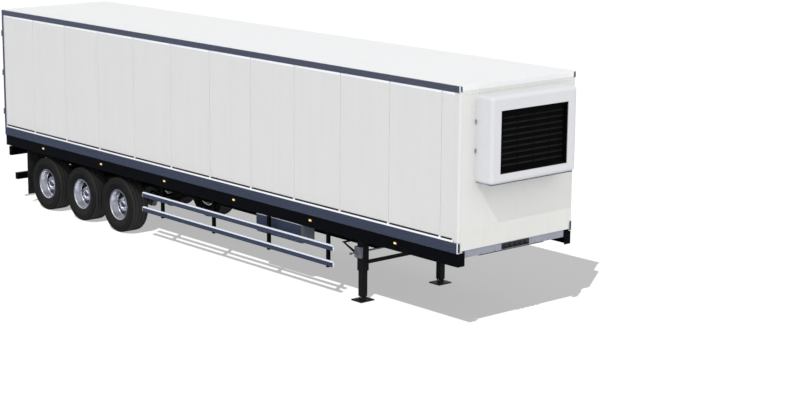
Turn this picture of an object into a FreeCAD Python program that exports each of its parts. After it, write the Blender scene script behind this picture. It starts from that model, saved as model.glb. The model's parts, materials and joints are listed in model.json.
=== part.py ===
import FreeCAD, Part
import math
import os

V = FreeCAD.Vector

# Refrigerated box semi-trailer on three axles, parked on its landing legs.
# Millimetres. +X forward, +Y to the trailer's left, +Z up. The origin is on the ground, in the
# middle of the overall length, on the plane of symmetry.
# Lengthwise places are stations: the distance ahead of the rear face of the box.
# An inset is measured inboard from the rails' outer faces, which give the box its width.

# ---- driving sizes --------------------------------------------------------------------------

# box
BOX_LENGTH = 13600.0
BOX_WIDTH = 2600.0
ROOF_TOP = 4000.0
FLOOR_TOP = 1530.0
FLOOR_THICK = 145.0
WALL = 60.0                 # side wall, whole thickness
WALL_INSET = 10.0
FRONT_WALL = 75.0
ROOF_PANEL = 86.0           # insulated roof between the upper rails
ROOF_SKIN = 9.0             # skin that laps over the rails
PANEL_PITCH = 1200.0
PANEL_PROUD = 15.0
PANEL_SEAM = 5.0
PANEL_ROUND = 13.0          # round along each panel's top edge
SLIT_HEIGHT = 15.0
SLIT_DEPTH = 12.0
SLIT_END = 30.0             # from a panel's end to its slit
LIP_HEIGHT = 45.0
LIP_PROUD = 8.0

# rails, posts and front sill
RAIL_WIDTH = 60.0
RAIL_OVER_FLOOR = 5.0
LOWER_RAIL_HEIGHT = 170.0
UPPER_RAIL_HEIGHT = 104.0
RAIL_END_BEVEL = 10.0
CORNER_POST = 100.0
CORNER_ROUND = 28.0
SILL_UNDER_FLOOR = 133.0    # from the load floor down to the front sill's top
SILL_HEIGHT = 120.0
SILL_DEPTH = 60.0
SILL_BACK = 12.0            # front sill, set back from the front wall
SILL_INSET = 180.0

# rear frame and doors
FRAME_DEPTH = 60.0
HEADER_DROP = 2.0           # doorway's top below the upper rails
JAMB = 15.0                 # door jamb, inboard of the rails
DOOR_THICK = 85.0
DOOR_GAP = 6.0              # above and below a leaf
DOOR_SIDE_GAP = 5.0         # at the post
DOOR_MID_GAP = 3.0          # from the middle plane to a leaf
DOOR_EDGE_BEVEL = 9.0       # a leaf's free edge leans back by this towards its inner face
DOOR_ROOT_BEVEL = 15.0
HINGE_BACK = 42.0           # hinge axis behind the doors' outer faces
HINGE_INSET = 20.0
KNUCKLE_R = 18.0
HINGE_PIN_R = 9.0
PIN_CLEARANCE = 0.05
HINGE_HEIGHT = 116.0
HINGE_LEAF = 38.0           # height of the strap's knuckle between the two lugs
KNUCKLE_GAP = 1.0
HINGE_OVER_FLOOR = 330.0    # lowest hinge
HINGE_UNDER_HEADER = 385.0  # highest hinge
HINGE_COUNT = 3
STRAP_THICK = 12.0
STRAP_OFF = 5.0             # strap's arm off the rear face of the post
STRAP_REACH = 240.0         # from the post along the leaf
BAR_R = 13.0
BAR_GROOVE = 70.0
BAR_GROOVE_DEPTH = 30.0
BAR_FROM_MIDDLE = 330.0
BAR_FROM_ROOT = 320.0
BAR_GUIDE_END = 94.0        # from a bar's end to its outermost guide
BAR_GUIDE_COUNT = 4
BAR_GUIDE_HEIGHT = 60.0
BAR_GUIDE_RIM = 9.0
HANDLE_OVER_FLOOR = 450.0
HANDLE_LENGTH = 360.0
HANDLE_HEIGHT = 34.0
HANDLE_THICK = 10.0
HANDLE_PROUD = 12.0

# wheels
AXLE_FIRST = 1518.0
AXLE_PITCH = 1302.0
AXLE_COUNT = 3
TYRE_R = 536.0
TYRE_WIDTH = 385.0
TYRE_INSET = 30.0
TYRE_FLAT_COUNT = 40        # flats round a tyre, few enough to keep its mesh light
TREAD_HALF = 174.0
TREAD_ROUND = 5.0           # drop of the tread's edge
SHOULDER_DROP = 24.0
SHOULDER_IN = 3.0
BULGE_DROP = 100.0          # widest place of the tyre below its tread
BEAD_R = 286.0
BEAD_GAP = 0.3              # from the tyre's bead to the rim
BEAD_OVER_FLANGE = 2.0
RIM_FLANGE_R = 302.0
RIM_WALL = 9.0
RIM_LIP = 11.0
RIM_LIP_SLOPE = 1.5
RIM_LIP_LEAN = 4.0
RIM_HALF = 162.0
RIM_SEAT = 50.0             # width of each bead seat
WELL_DROP = 24.0            # drop centre below the bead seats
WELL_SLOPE = 24.0
DISC_OUT = 7.5              # wheel disc's outer face, outboard of the tyre's middle
DISC_THICK = 14.0
DISC_ROUND = 24.0
HAND_HOLE_COUNT = 10
HAND_HOLE_R = 31.0
HAND_HOLE_PITCH_R = 214.0
HUB_R = 138.0
HUB_CAP_R = 86.0
HUB_CAP_BEVEL = 14.0
HUB_CAP_OUT = 70.5
HUB_FACE_OUT = 34.5
HUB_FLARE = 6.0
HUB_IN = 141.5              # hub's inner end, inboard of the tyre's middle
SPINDLE_R = 45.0
SPINDLE_OUT = 20.5
SPINDLE_ROOM = 8.0
AXLE_R = 63.5
HUB_RUN_GAP = 6.0           # along the axle, from hub to axle beam

# chassis
BEAM_INSET = 650.0          # to the chassis beam's web
BEAM_DEPTH = 492.0
BEAM_FLANGE = 140.0
BEAM_FLANGE_THICK = 14.0
BEAM_WEB = 9.0
BEAM_REAR = 110.0
NECK_DEPTH = 140.0
NECK_RAMP = 280.0           # along the lower flange, where it rises to the neck
NECK_BEHIND_KINGPIN = 640.0
CROSS_UNDER_FLOOR = 35.0
CROSS_HEIGHT = 88.0
CROSS_DEPTH = 60.0
CROSS_WALL = 8.0
CROSS_FIRST = 420.0
CROSS_PITCH = 1010.0
CROSS_COUNT = 13
SKIRT_INSET = 20.0
SKIRT_HEIGHT = 218.0
SKIRT_DEPTH = 60.0
SKIRT_WALL = 6.0
SKIRT_RETURN = 150.0        # plate that closes the skirt's front end, inboard
PLATE_THICK = 10.0
PLATE_BEHIND_KINGPIN = 620.0
PLATE_BACK = 100.0          # coupling plate, behind the front of the box
KINGPIN_BACK = 1600.0       # kingpin, behind the front of the box
KINGPIN_R = 25.4
KINGPIN_COLLAR_R = 36.5
KINGPIN_COLLAR = 25.0
KINGPIN_THROAT = 35.0
KINGPIN_FOOT = 24.0
KINGPIN_FLANGE_R = 85.0
KINGPIN_FLANGE = 14.0
SEAT_GAP = 0.3

# suspension: lengths are measured ahead of or behind each axle, heights from the axle's centre
ARM_WIDTH = 100.0
ARM_PIVOT_AHEAD = 500.0
ARM_PIVOT_RISE = 200.0
ARM_EYE_R = 52.0
ARM_PIN_R = 18.0
ARM_DEPTH = 60.0
ARM_SADDLE = 80.0           # level stretch over the axle, each way
ARM_SEAT_THICK = 26.0
ARM_SEAT_HALF = 100.0
SPRING_BEHIND = 380.0
SPRING_SEAT_RISE = 44.0
SPRING_R = 135.0
SPRING_PLATE_R = 96.0
SPRING_WAIST_R = 112.0
SPRING_FOLD = 0.5           # share of a fold's height at its full radius
HANGER_CHEEK = 12.0
HANGER_GAP = 3.0
HANGER_LENGTH = 170.0
HANGER_TIP = 90.0
HANGER_TIP_DROP = 45.0
HANGER_TOP_PLATE = 16.0
HANGER_PIN_PROUD = 8.0
SHOCK_R = 34.0
SHOCK_ROD_R = 18.0
SHOCK_FOOT_AHEAD = 40.0
SHOCK_FOOT_RISE = 104.0
SHOCK_HEAD_AHEAD = 300.0
SHOCK_HEAD_DROP = 45.0      # upper eye below the chassis beam
SHOCK_IN = 105.0            # from the chassis beam's web, inboard
SHOCK_EYE_R = 26.0
SHOCK_PIN_R = 12.0
SHOCK_LUG = 40.0
BRAKE_R = 60.0
BRAKE_SPRING_R = 54.0
BRAKE_CLAMP_R = 66.0
BRAKE_CLAMP = 16.0
BRAKE_AHEAD = 175.0
BRAKE_LENGTH = 120.0
BRAKE_SPRING_LENGTH = 100.0
BRAKE_RISE = 18.0
BRAKE_BRACKET = 50.0

# landing legs
LEG_BEHIND_KINGPIN = 1050.0
LEG_OUT = 250.0             # from the chassis beam's web, outboard
LEG_TUBE = 140.0
LEG_UNDER_FLOOR = 85.0
LEG_TUBE_LOW = 520.0
LEG_INNER = 110.0
FOOT_LENGTH = 260.0
FOOT_WIDTH = 300.0
FOOT_THICK = 22.0
ANKLE = 55.0
ANKLE_STEP = 12.0
LEG_MOUNT_HEIGHT = 260.0
LEG_MOUNT_DROP = 40.0
LEG_MOUNT_STEP = 20.0
BRACE_BACK = 560.0          # foot of the brace to its head, towards the rear
BRACE_LOW = 640.0
BRACE_DEPTH = 70.0
BRACE_THICK = 14.0
TIE_LOW = 640.0
TIE_HEIGHT = 60.0
TIE_DEPTH = 40.0
CRANK_Z = 850.0
CRANK_R = 11.0
CRANK_INSET = 104.0
CRANK_KNOB_R = 19.0
CRANK_KNOB = 38.0
CROSS_SHAFT_R = 15.0
GEARBOX_LENGTH = 150.0
GEARBOX_DEPTH = 60.0
GEARBOX_HEIGHT = 190.0

# side guards
GUARD_REAR = 5000.0
GUARD_BEHIND_LEG = 345.0    # front end of the guards
GUARD_INSET = 25.0
GUARD_DEPTH = 38.0
GUARD_HEIGHT = 100.0
GUARD_BEVEL = 20.0
GUARD_EDGE = 6.0
GUARD_LOWS = (560.0, 841.0)
GUARD_POST_FIRST = 5583.0
GUARD_POST_PITCH = 1610.0
GUARD_POST_COUNT = 4
GUARD_POST_LENGTH = 60.0
GUARD_POST_DEPTH = 54.0
GUARD_POST_LOW = 520.0
GUARD_POST_TIP = 12.0       # bevel at a post's lower end

# tank of the cooling unit, on the right
TANK_REAR = 8253.0
TANK_FRONT = 9586.0
TANK_INSET = 200.0
TANK_WIDTH = 320.0
TANK_UNDER_SKIRT = 65.0
TANK_HEIGHT = 337.0
TANK_CORNER = 80.0          # round of the tank's upright corners
TANK_BELLY = 40.0           # round of its lower edges
TANK_BRACKET = 60.0
TANK_BRACKET_TRIM = 80.0    # bracket short of the tank's top
FILLER_R = 42.0
FILLER_RISE = 22.0
FILLER_IN = 75.0
FILLER_BACK = 110.0

# compressed-air tanks
AIR_TANK_MEMBER_COUNT = 5   # cross members behind the one that carries the tanks
AIR_TANK_LENGTH = 760.0
AIR_TANK_R = 130.0
AIR_TANK_ROUND = 45.0
AIR_TANK_IN = 350.0         # from the chassis beam's web, inboard

# tail
LAMP_BEAM_REAR = 30.0
LAMP_BEAM_RISE = 31.0       # above the chassis beams' lower faces
LAMP_BEAM_HEIGHT = 190.0
LAMP_BEAM_INSET = 62.0
REAR_LAMP_WIDTH = 420.0
REAR_LAMP_HEIGHT = 130.0
REAR_LAMP_PROUD = 22.0
REAR_LAMP_MARGIN = 20.0
REAR_LAMP_ROUND = 12.0
UNDER_RUN_REAR = 200.0
UNDER_RUN_DEPTH = 100.0
UNDER_RUN_LOW = 433.0
UNDER_RUN_HEIGHT = 140.0
UNDER_RUN_INSET = 94.0
UNDER_RUN_ARM = 80.0
UNDER_RUN_BEVEL = 10.0
FLAP_AT = 700.0
FLAP_THICK = 8.0
FLAP_LOW = 184.0
FLAP_OVER_BEAM = 203.0      # flap's top above the chassis beams' lower faces
FLAP_INSET = 94.0
FLAP_WIDTH = 446.0
FLAP_ROD_R = 14.0
BUFFER_PROUD = 55.0
BUFFER_WIDTH = 90.0
BUFFER_HEIGHT = 130.0
BUFFER_INSET = 170.0
BUFFER_RISE = 20.0          # above the lower rails' lower faces
BUFFER_BEVEL = 12.0

# marker lamps
LAMP_FIRST = 1480.0
LAMP_PITCH = 2136.0
LAMP_COUNT = 6
LAMP_LENGTH = 88.0
LAMP_HEIGHT = 46.0
LAMP_PROUD = 14.0
LAMP_RISE = 126.0           # lamp's middle above the skirt's lower edge
LAMP_ROUND = 6.0

# cooling unit on the front wall, and its evaporator inside
UNIT_DEPTH = 360.0
UNIT_INSET = 350.0
UNIT_UNDER_ROOF = 170.0
UNIT_HEIGHT = 1370.0
UNIT_ROUND = 60.0
GRILLE_INSET = 200.0        # from the unit's sides
GRILLE_UNDER_TOP = 230.0
GRILLE_OVER_FOOT = 150.0
GRILLE_RECESS = 70.0
GRILLE_BORDER = 70.0
GRILLE_DEPTH = 56.0
GRILLE_PLATE = 6.0
SLAT_COUNT = 9
SLAT_THICK = 10.0
SLAT_DEPTH = 44.0
EVAPORATOR_LENGTH = 280.0
EVAPORATOR_HEIGHT = 330.0
EVAPORATOR_HALF = 800.0
EVAPORATOR_SLOPE = 120.0

# air and electric couplings on the front sill
COUPLING_PANEL_WIDTH = 620.0
COUPLING_PANEL_HEIGHT = 96.0
COUPLING_PANEL_THICK = 8.0
COUPLING_COUNT = 5
COUPLING_R = 28.0
COUPLING_PITCH = 115.0
COUPLING_LENGTH = 40.0

# ---- places worked out from the sizes ---------------------------------------------------------

HALF = BOX_WIDTH / 2
WALL_OUT = HALF - WALL_INSET
WALL_IN = WALL_OUT - WALL
RAIL_IN = HALF - RAIL_WIDTH
FLOOR_LOW = FLOOR_TOP - FLOOR_THICK
LOWER_RAIL_TOP = FLOOR_TOP + RAIL_OVER_FLOOR
LOWER_RAIL_LOW = LOWER_RAIL_TOP - LOWER_RAIL_HEIGHT
UPPER_RAIL_TOP = ROOF_TOP - ROOF_SKIN
UPPER_RAIL_LOW = UPPER_RAIL_TOP - UPPER_RAIL_HEIGHT
ROOF_LOW = UPPER_RAIL_TOP - ROOF_PANEL
SILL_TOP = FLOOR_TOP - SILL_UNDER_FLOOR
SILL_LOW = SILL_TOP - SILL_HEIGHT
SILL_FRONT = BOX_LENGTH - SILL_BACK
HEADER_LOW = UPPER_RAIL_LOW - HEADER_DROP
DOORWAY_HALF = RAIL_IN - JAMB
DOOR_LOW, DOOR_TOP = FLOOR_TOP + DOOR_GAP, HEADER_LOW - DOOR_GAP
DOOR_ROOT = DOORWAY_HALF - DOOR_SIDE_GAP
HINGE_Y = HALF - HINGE_INSET
REAR_MOST = -(HINGE_BACK + KNUCKLE_R)
FRONT_MOST = BOX_LENGTH + UNIT_DEPTH
MIDDLE = (REAR_MOST + FRONT_MOST) / 2
AXLES = [AXLE_FIRST + i * AXLE_PITCH for i in range(AXLE_COUNT)]
TYRE_MID_Y = HALF - TYRE_INSET - TYRE_WIDTH / 2
BEAM_Y = HALF - BEAM_INSET
BEAM_LOW = FLOOR_LOW - BEAM_DEPTH
BEAM_FRONT = SILL_FRONT - SILL_DEPTH
KINGPIN_AT = BOX_LENGTH - KINGPIN_BACK
PLATE_REAR, PLATE_FRONT = KINGPIN_AT - PLATE_BEHIND_KINGPIN, BOX_LENGTH - PLATE_BACK
NECK_TO = KINGPIN_AT - NECK_BEHIND_KINGPIN
NECK_FROM = NECK_TO - NECK_RAMP
LEG_AT = KINGPIN_AT - LEG_BEHIND_KINGPIN
GUARD_FRONT = LEG_AT - GUARD_BEHIND_LEG
WEB_IN, WEB_OUT = BEAM_Y - BEAM_WEB / 2, BEAM_Y + BEAM_WEB / 2
NECK_LOW = FLOOR_LOW - NECK_DEPTH
CROSS_TOP = FLOOR_LOW - CROSS_UNDER_FLOOR
CROSS_LOW = CROSS_TOP - CROSS_HEIGHT
CROSS_STATIONS = [CROSS_FIRST + i * CROSS_PITCH for i in range(CROSS_COUNT)]
SKIRT_OUT = HALF - SKIRT_INSET
SKIRT_LOW = LOWER_RAIL_LOW - SKIRT_HEIGHT
LEG_Y = BEAM_Y + LEG_OUT
LEG_TOP = FLOOR_LOW - LEG_UNDER_FLOOR
GUARD_OUT = HALF - GUARD_INSET
SIDES = (("right", -1), ("left", 1))

NODES = {}


def add(name, solids):
    """Keeps one node: a list of solids that don't touch each other."""
    NODES[name] = solids if isinstance(solids, list) else [solids]


def box(s, y, z):
    """Box between two stations, two widths and two heights."""
    y0, y1 = min(y), max(y)
    corner = V(s[0] - MIDDLE, y0, z[0])
    return Part.makeBox(s[1] - s[0], y1 - y0, z[1] - z[0], corner)


def both(make):
    """Makes the right-hand piece and its mirror image; make(side) gets -1 or 1."""
    return [make(side) for name, side in SIDES]


def outline(points):
    return Part.Face(Part.makePolygon(points + [points[0]]))


def prism_y(points, y0, y1):
    """Side-view outline of (station, height) points, given a width along Y."""
    low = min(y0, y1)
    return outline([V(s - MIDDLE, low, z) for s, z in points]).extrude(V(0, abs(y1 - y0), 0))


def prism_x(points, s0, s1):
    """Rear-view outline of (y, z) points, given a length along X."""
    return outline([V(s0 - MIDDLE, y, z) for y, z in points]).extrude(V(s1 - s0, 0, 0))


def prism_z(points, z0, z1):
    """Plan outline of (station, y) points, given a height along Z."""
    return outline([V(s - MIDDLE, y, z0) for s, y in points]).extrude(V(0, 0, z1 - z0))


def rod(start, end, r):
    """Round bar between two (station, y, z) places."""
    a = V(start[0] - MIDDLE, start[1], start[2])
    run = V(end[0] - MIDDLE, end[1], end[2]) - a
    return Part.makeCylinder(r, run.Length, a, run)


def turned(points, s, y, z, axis):
    """Solid turned from (along, radius) points about an axis, X, Y or Z, through a place."""
    at = V(s - MIDDLE, y, z)
    out = V(0, 0, 1) if axis.z == 0 else V(1, 0, 0)
    return outline([at + axis * along + out * r for along, r in points]).revolve(at, axis, 360)


def fuse(shapes):
    whole = shapes[0].multiFuse(shapes[1:]) if len(shapes) > 1 else shapes[0]
    return whole.removeSplitter()


def edges_along(shape, axis, keep):
    """Straight edges along an axis whose middle passes the test."""
    found = []
    for edge in shape.Edges:
        ends = edge.Vertexes
        if len(ends) != 2:
            continue
        run = ends[1].Point - ends[0].Point
        if abs(abs(run.dot(axis)) - run.Length) < 1e-6 and run.Length > 1 and keep(edge.CenterOfMass):
            found.append(edge)
    return found


# ---- box --------------------------------------------------------------------------------------

def side_wall(side):
    """Core with one proud panel for each pitch, a slit under each and a lip along the bottom."""
    start, end = FRAME_DEPTH, BOX_LENGTH - CORNER_POST
    face = WALL_OUT - PANEL_PROUD
    slit_low = LOWER_RAIL_TOP + LIP_HEIGHT
    core = box((start, end), (side * WALL_IN, side * face), (LOWER_RAIL_TOP, UPPER_RAIL_LOW))
    lip = box((start, end), (side * face, side * (WALL_OUT + LIP_PROUD)), (LOWER_RAIL_TOP, slit_low))
    pieces = [core, lip]
    at = start
    stops = [i * PANEL_PITCH for i in range(1, int(BOX_LENGTH // PANEL_PITCH) + 1)] + [end]
    for stop in [s for s in stops if s <= end]:
        low = at + PANEL_SEAM / 2 if at > start else at
        high = stop - PANEL_SEAM / 2 if stop < end else stop
        panel = box((low, high), (side * face, side * WALL_OUT), (slit_low, UPPER_RAIL_LOW))
        top = edges_along(panel, V(1, 0, 0),
                          lambda c: c.z > UPPER_RAIL_LOW - 1 and abs(c.y) > WALL_OUT - 1)
        panel = panel.makeFillet(PANEL_ROUND, top)
        slit = box((low + SLIT_END, high - SLIT_END), (side * (WALL_OUT - SLIT_DEPTH), side * HALF),
                   (slit_low, slit_low + SLIT_HEIGHT))
        pieces.append(panel.cut(slit))
        at = stop
    return fuse(pieces)


def rail(side, low, high):
    """Side rail with a bevel round the outer edges of its front end."""
    bar = box((0, BOX_LENGTH), (side * RAIL_IN, side * HALF), (low, high))
    front = BOX_LENGTH - MIDDLE - 1
    rim = edges_along(bar, V(0, 1, 0), lambda c: c.x > front)
    rim += edges_along(bar, V(0, 0, 1), lambda c: c.x > front and abs(c.y) > HALF - 1)
    return bar.makeChamfer(RAIL_END_BEVEL, rim)


def corner_post(side):
    post = box((BOX_LENGTH - CORNER_POST, BOX_LENGTH), (side * WALL_IN, side * WALL_OUT),
               (LOWER_RAIL_TOP, UPPER_RAIL_LOW))
    edge = edges_along(post, V(0, 0, 1),
                       lambda c: c.x > BOX_LENGTH - MIDDLE - 1 and abs(c.y) > WALL_OUT - 1)
    return post.makeFillet(CORNER_ROUND, edge)


def make_box():
    add("floor", box((FRAME_DEPTH, BOX_LENGTH - FRONT_WALL), (-RAIL_IN, RAIL_IN), (FLOOR_LOW, FLOOR_TOP)))
    for name, side in SIDES:
        add("side_wall_" + name, side_wall(side))
    panel = box((FRAME_DEPTH, BOX_LENGTH), (-RAIL_IN, RAIL_IN), (ROOF_LOW, UPPER_RAIL_TOP))
    skin = box((0, BOX_LENGTH), (-WALL_OUT, WALL_OUT), (UPPER_RAIL_TOP, ROOF_TOP))
    add("roof", fuse([panel, skin]))
    add("front_wall", box((BOX_LENGTH - FRONT_WALL, BOX_LENGTH), (-WALL_IN, WALL_IN), (SILL_TOP, ROOF_LOW)))
    add("front_corner_posts", both(corner_post))
    add("upper_rails", both(lambda side: rail(side, UPPER_RAIL_LOW, UPPER_RAIL_TOP)))
    add("lower_rails", both(lambda side: rail(side, LOWER_RAIL_LOW, LOWER_RAIL_TOP)))
    half = HALF - SILL_INSET
    add("front_sill", box((BEAM_FRONT, SILL_FRONT), (-half, half), (SILL_LOW, SILL_TOP)))


# ---- rear frame and doors ---------------------------------------------------------------------

def hinge_heights():
    first, last = FLOOR_TOP + HINGE_OVER_FLOOR, HEADER_LOW - HINGE_UNDER_HEADER
    return [first + i * (last - first) / (HINGE_COUNT - 1) for i in range(HINGE_COUNT)]


def bar_places():
    return BAR_FROM_MIDDLE, DOOR_ROOT - BAR_FROM_ROOT


def make_rear():
    outer = box((0, FRAME_DEPTH), (-RAIL_IN, RAIL_IN), (LOWER_RAIL_LOW, UPPER_RAIL_TOP))
    hole = box((-1, FRAME_DEPTH + 1), (-DOORWAY_HALF, DOORWAY_HALF), (FLOOR_TOP, HEADER_LOW))
    posts = both(lambda side: box((0, FRAME_DEPTH), (side * RAIL_IN, side * HALF),
                                  (LOWER_RAIL_TOP, UPPER_RAIL_LOW)))
    add("rear_frame", fuse([outer.cut(hole)] + posts))
    add("hinge_brackets", [bracket(side, z) for name, side in SIDES for z in hinge_heights()])
    for name, side in SIDES:
        add("rear_door_" + name, door(side))
        add("lock_bars_" + name, [lock_bar(side, y) for y in bar_places()])
        add("hinge_straps_" + name, [strap(side, z) for z in hinge_heights()])


def door(side):
    """A leaf whose free edge and root lean so that it can swing past its neighbours."""
    plan = [(0, side * DOOR_MID_GAP), (DOOR_THICK, side * (DOOR_MID_GAP + DOOR_EDGE_BEVEL)),
            (DOOR_THICK, side * (DOOR_ROOT - DOOR_ROOT_BEVEL)), (0, side * DOOR_ROOT)]
    leaf = prism_z(plan, DOOR_LOW, DOOR_TOP)
    half = BAR_GROOVE / 2
    for y in bar_places():
        leaf = leaf.cut(box((-1, BAR_GROOVE_DEPTH), (side * (y - half), side * (y + half)),
                            (DOOR_LOW - 1, DOOR_TOP + 1)))
    return leaf


def lock_bar(side, y):
    """A bar in its groove with its guides and its handle."""
    centre = BAR_GROOVE_DEPTH / 2
    pieces = [rod((centre, side * y, DOOR_LOW), (centre, side * y, DOOR_TOP), BAR_R)]
    first, last = DOOR_LOW + BAR_GUIDE_END, DOOR_TOP - BAR_GUIDE_END
    half, rim = BAR_GUIDE_HEIGHT / 2, BAR_R + BAR_GUIDE_RIM
    for i in range(BAR_GUIDE_COUNT):
        z = first + i * (last - first) / (BAR_GUIDE_COUNT - 1)
        pieces.append(box((0, BAR_GROOVE_DEPTH), (side * (y - rim), side * (y + rim)), (z - half, z + half)))
    low = FLOOR_TOP + HANDLE_OVER_FLOOR
    heights = (low, low + HANDLE_HEIGHT)
    pieces.append(box((-HANDLE_PROUD, centre), (side * (y - BAR_R), side * (y + BAR_R)), heights))
    reach = y - BAR_R - min(HANDLE_LENGTH, y / 2)
    grip = box((-HANDLE_PROUD, HANDLE_THICK - HANDLE_PROUD), (side * reach, side * (y + BAR_R)), heights)
    return fuse(pieces + [grip])


def strap(side, z):
    """Strap on the leaf with a cranked arm to its knuckle."""
    low, high = z - HINGE_LEAF / 2, z + HINGE_LEAF / 2
    plate = box((-STRAP_THICK, 0), (side * (DOOR_ROOT - STRAP_REACH), side * DOOR_ROOT),
                (z - HINGE_HEIGHT / 2, z + HINGE_HEIGHT / 2))
    arm = box((-STRAP_THICK, -STRAP_OFF), (side * (DOOR_ROOT - STRAP_OFF), side * HINGE_Y), (low, high))
    neck = box((-HINGE_BACK, -STRAP_OFF), (side * (HINGE_Y - KNUCKLE_R), side * HINGE_Y), (low, high))
    knuckle = rod((-HINGE_BACK, side * HINGE_Y, low), (-HINGE_BACK, side * HINGE_Y, high), KNUCKLE_R)
    pin = rod((-HINGE_BACK, side * HINGE_Y, low - 1), (-HINGE_BACK, side * HINGE_Y, high + 1),
              HINGE_PIN_R + PIN_CLEARANCE)
    return fuse([plate, arm, neck, knuckle]).cut(pin)


def bracket(side, z):
    """Two lugs on the post with the hinge pin between them."""
    y, half = side * HINGE_Y, HINGE_HEIGHT / 2
    pieces = [rod((-HINGE_BACK, y, z - half), (-HINGE_BACK, y, z + half), HINGE_PIN_R)]
    lug = (HINGE_HEIGHT - HINGE_LEAF) / 2 - KNUCKLE_GAP
    for low in (z - half, z + half - lug):
        pieces.append(rod((-HINGE_BACK, y, low), (-HINGE_BACK, y, low + lug), KNUCKLE_R))
        pieces.append(box((-HINGE_BACK, 0), (side * (HINGE_Y - KNUCKLE_R), side * (HINGE_Y + KNUCKLE_R)),
                          (low, low + lug)))
    return fuse(pieces)


# ---- wheels and axles -------------------------------------------------------------------------

def tyre(s, side):
    """Tyre of flat-sided rings, each ring given by its (distance from the tyre's middle, radius)."""
    half = TYRE_WIDTH / 2
    bead = RIM_HALF - RIM_LIP - RIM_LIP_SLOPE - BEAD_GAP
    spread = 1 / math.cos(math.pi / TYRE_FLAT_COUNT)     # keeps the bore's flats off the round rim
    inboard = [(bead, BEAD_R * spread), (bead, (RIM_FLANGE_R + BEAD_OVER_FLANGE) * spread),
               (half, TYRE_R - BULGE_DROP), (half - SHOULDER_IN, TYRE_R - SHOULDER_DROP),
               (TREAD_HALF, TYRE_R - TREAD_ROUND), (TREAD_HALF - SHOULDER_DROP, TYRE_R)]
    profile = [(-y, r) for y, r in inboard] + list(reversed(inboard))
    turns = [2 * math.pi * i / TYRE_FLAT_COUNT - math.pi / 2 for i in range(TYRE_FLAT_COUNT)]
    rings = [[V(s - MIDDLE + r * math.cos(turn), side * (TYRE_MID_Y + y), TYRE_R + r * math.sin(turn))
              for turn in turns] for y, r in profile]
    faces = []
    for a, b in zip(rings, rings[1:] + rings[:1]):
        for i in range(TYRE_FLAT_COUNT):
            j = (i + 1) % TYRE_FLAT_COUNT
            faces.append(outline([a[i], a[j], b[j], b[i]]))
    solid = Part.Solid(Part.Shell(faces))
    return solid if solid.Volume > 0 else solid.reversed()


def wheel(s, side):
    """Rim, disc and hub as one turned solid, with its hand holes and its bore for the spindle."""
    seat, wall = BEAD_R - BEAD_GAP, RIM_WALL
    well = seat - WELL_DROP
    disc_in = DISC_OUT - DISC_THICK
    lip = RIM_LIP + RIM_LIP_SLOPE
    bore, room = SPINDLE_R + PIN_CLEARANCE, SPINDLE_OUT + SPINDLE_ROOM
    out, inn = RIM_HALF, -RIM_HALF
    profile = [
        (out, RIM_FLANGE_R), (out - RIM_LIP, RIM_FLANGE_R), (out - lip, seat), (out - RIM_SEAT, seat),
        (disc_in + WELL_SLOPE, well), (inn + RIM_SEAT + WELL_SLOPE, well), (inn + RIM_SEAT, seat),
        (inn + lip, seat), (inn + RIM_LIP, RIM_FLANGE_R), (inn, RIM_FLANGE_R),
        (inn, seat - wall), (inn + RIM_SEAT - wall, seat - wall),
        (inn + RIM_SEAT + WELL_SLOPE - wall, well - wall), (disc_in, well - wall), (disc_in, HUB_R),
        (-HUB_IN, HUB_R), (-HUB_IN, bore), (room, bore), (room, 0), (HUB_CAP_OUT, 0),
        (HUB_CAP_OUT, HUB_CAP_R - HUB_CAP_BEVEL), (HUB_CAP_OUT - HUB_CAP_BEVEL, HUB_CAP_R),
        (HUB_FACE_OUT, HUB_CAP_R), (HUB_FACE_OUT, HUB_R), (DISC_OUT, HUB_R + HUB_FLARE),
        (DISC_OUT, well - wall - DISC_ROUND), (DISC_OUT + DISC_ROUND, well - wall),
        (out - RIM_SEAT - wall, seat - wall), (out, seat - wall + RIM_LIP_LEAN),
    ]
    body = turned([(side * y, r) for y, r in profile], s, side * TYRE_MID_Y, TYRE_R, V(0, 1, 0))
    y0, y1 = side * (TYRE_MID_Y + disc_in - 1), side * (TYRE_MID_Y + DISC_OUT + 1)
    for i in range(HAND_HOLE_COUNT):
        turn = 2 * math.pi * i / HAND_HOLE_COUNT
        x = s + HAND_HOLE_PITCH_R * math.cos(turn)
        z = TYRE_R + HAND_HOLE_PITCH_R * math.sin(turn)
        body = body.cut(rod((x, y0, z), (x, y1, z), HAND_HOLE_R))
    return body


def axle(s):
    """Round axle beam with its two spindles."""
    tip = TYRE_MID_Y + SPINDLE_OUT
    half = TYRE_MID_Y - HUB_IN - HUB_RUN_GAP
    return fuse([rod((s, -half, TYRE_R), (s, half, TYRE_R), AXLE_R),
                 rod((s, -tip, TYRE_R), (s, tip, TYRE_R), SPINDLE_R)])


def make_wheels():
    for number, s in enumerate(AXLES, 1):
        for name, side in SIDES:
            add("tyre_%s_%d" % (name, number), tyre(s, side))
            add("wheel_%s_%d" % (name, number), wheel(s, side))
    add("axle_beams", [axle(s) for s in AXLES])


# ---- suspension and brakes --------------------------------------------------------------------

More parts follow.
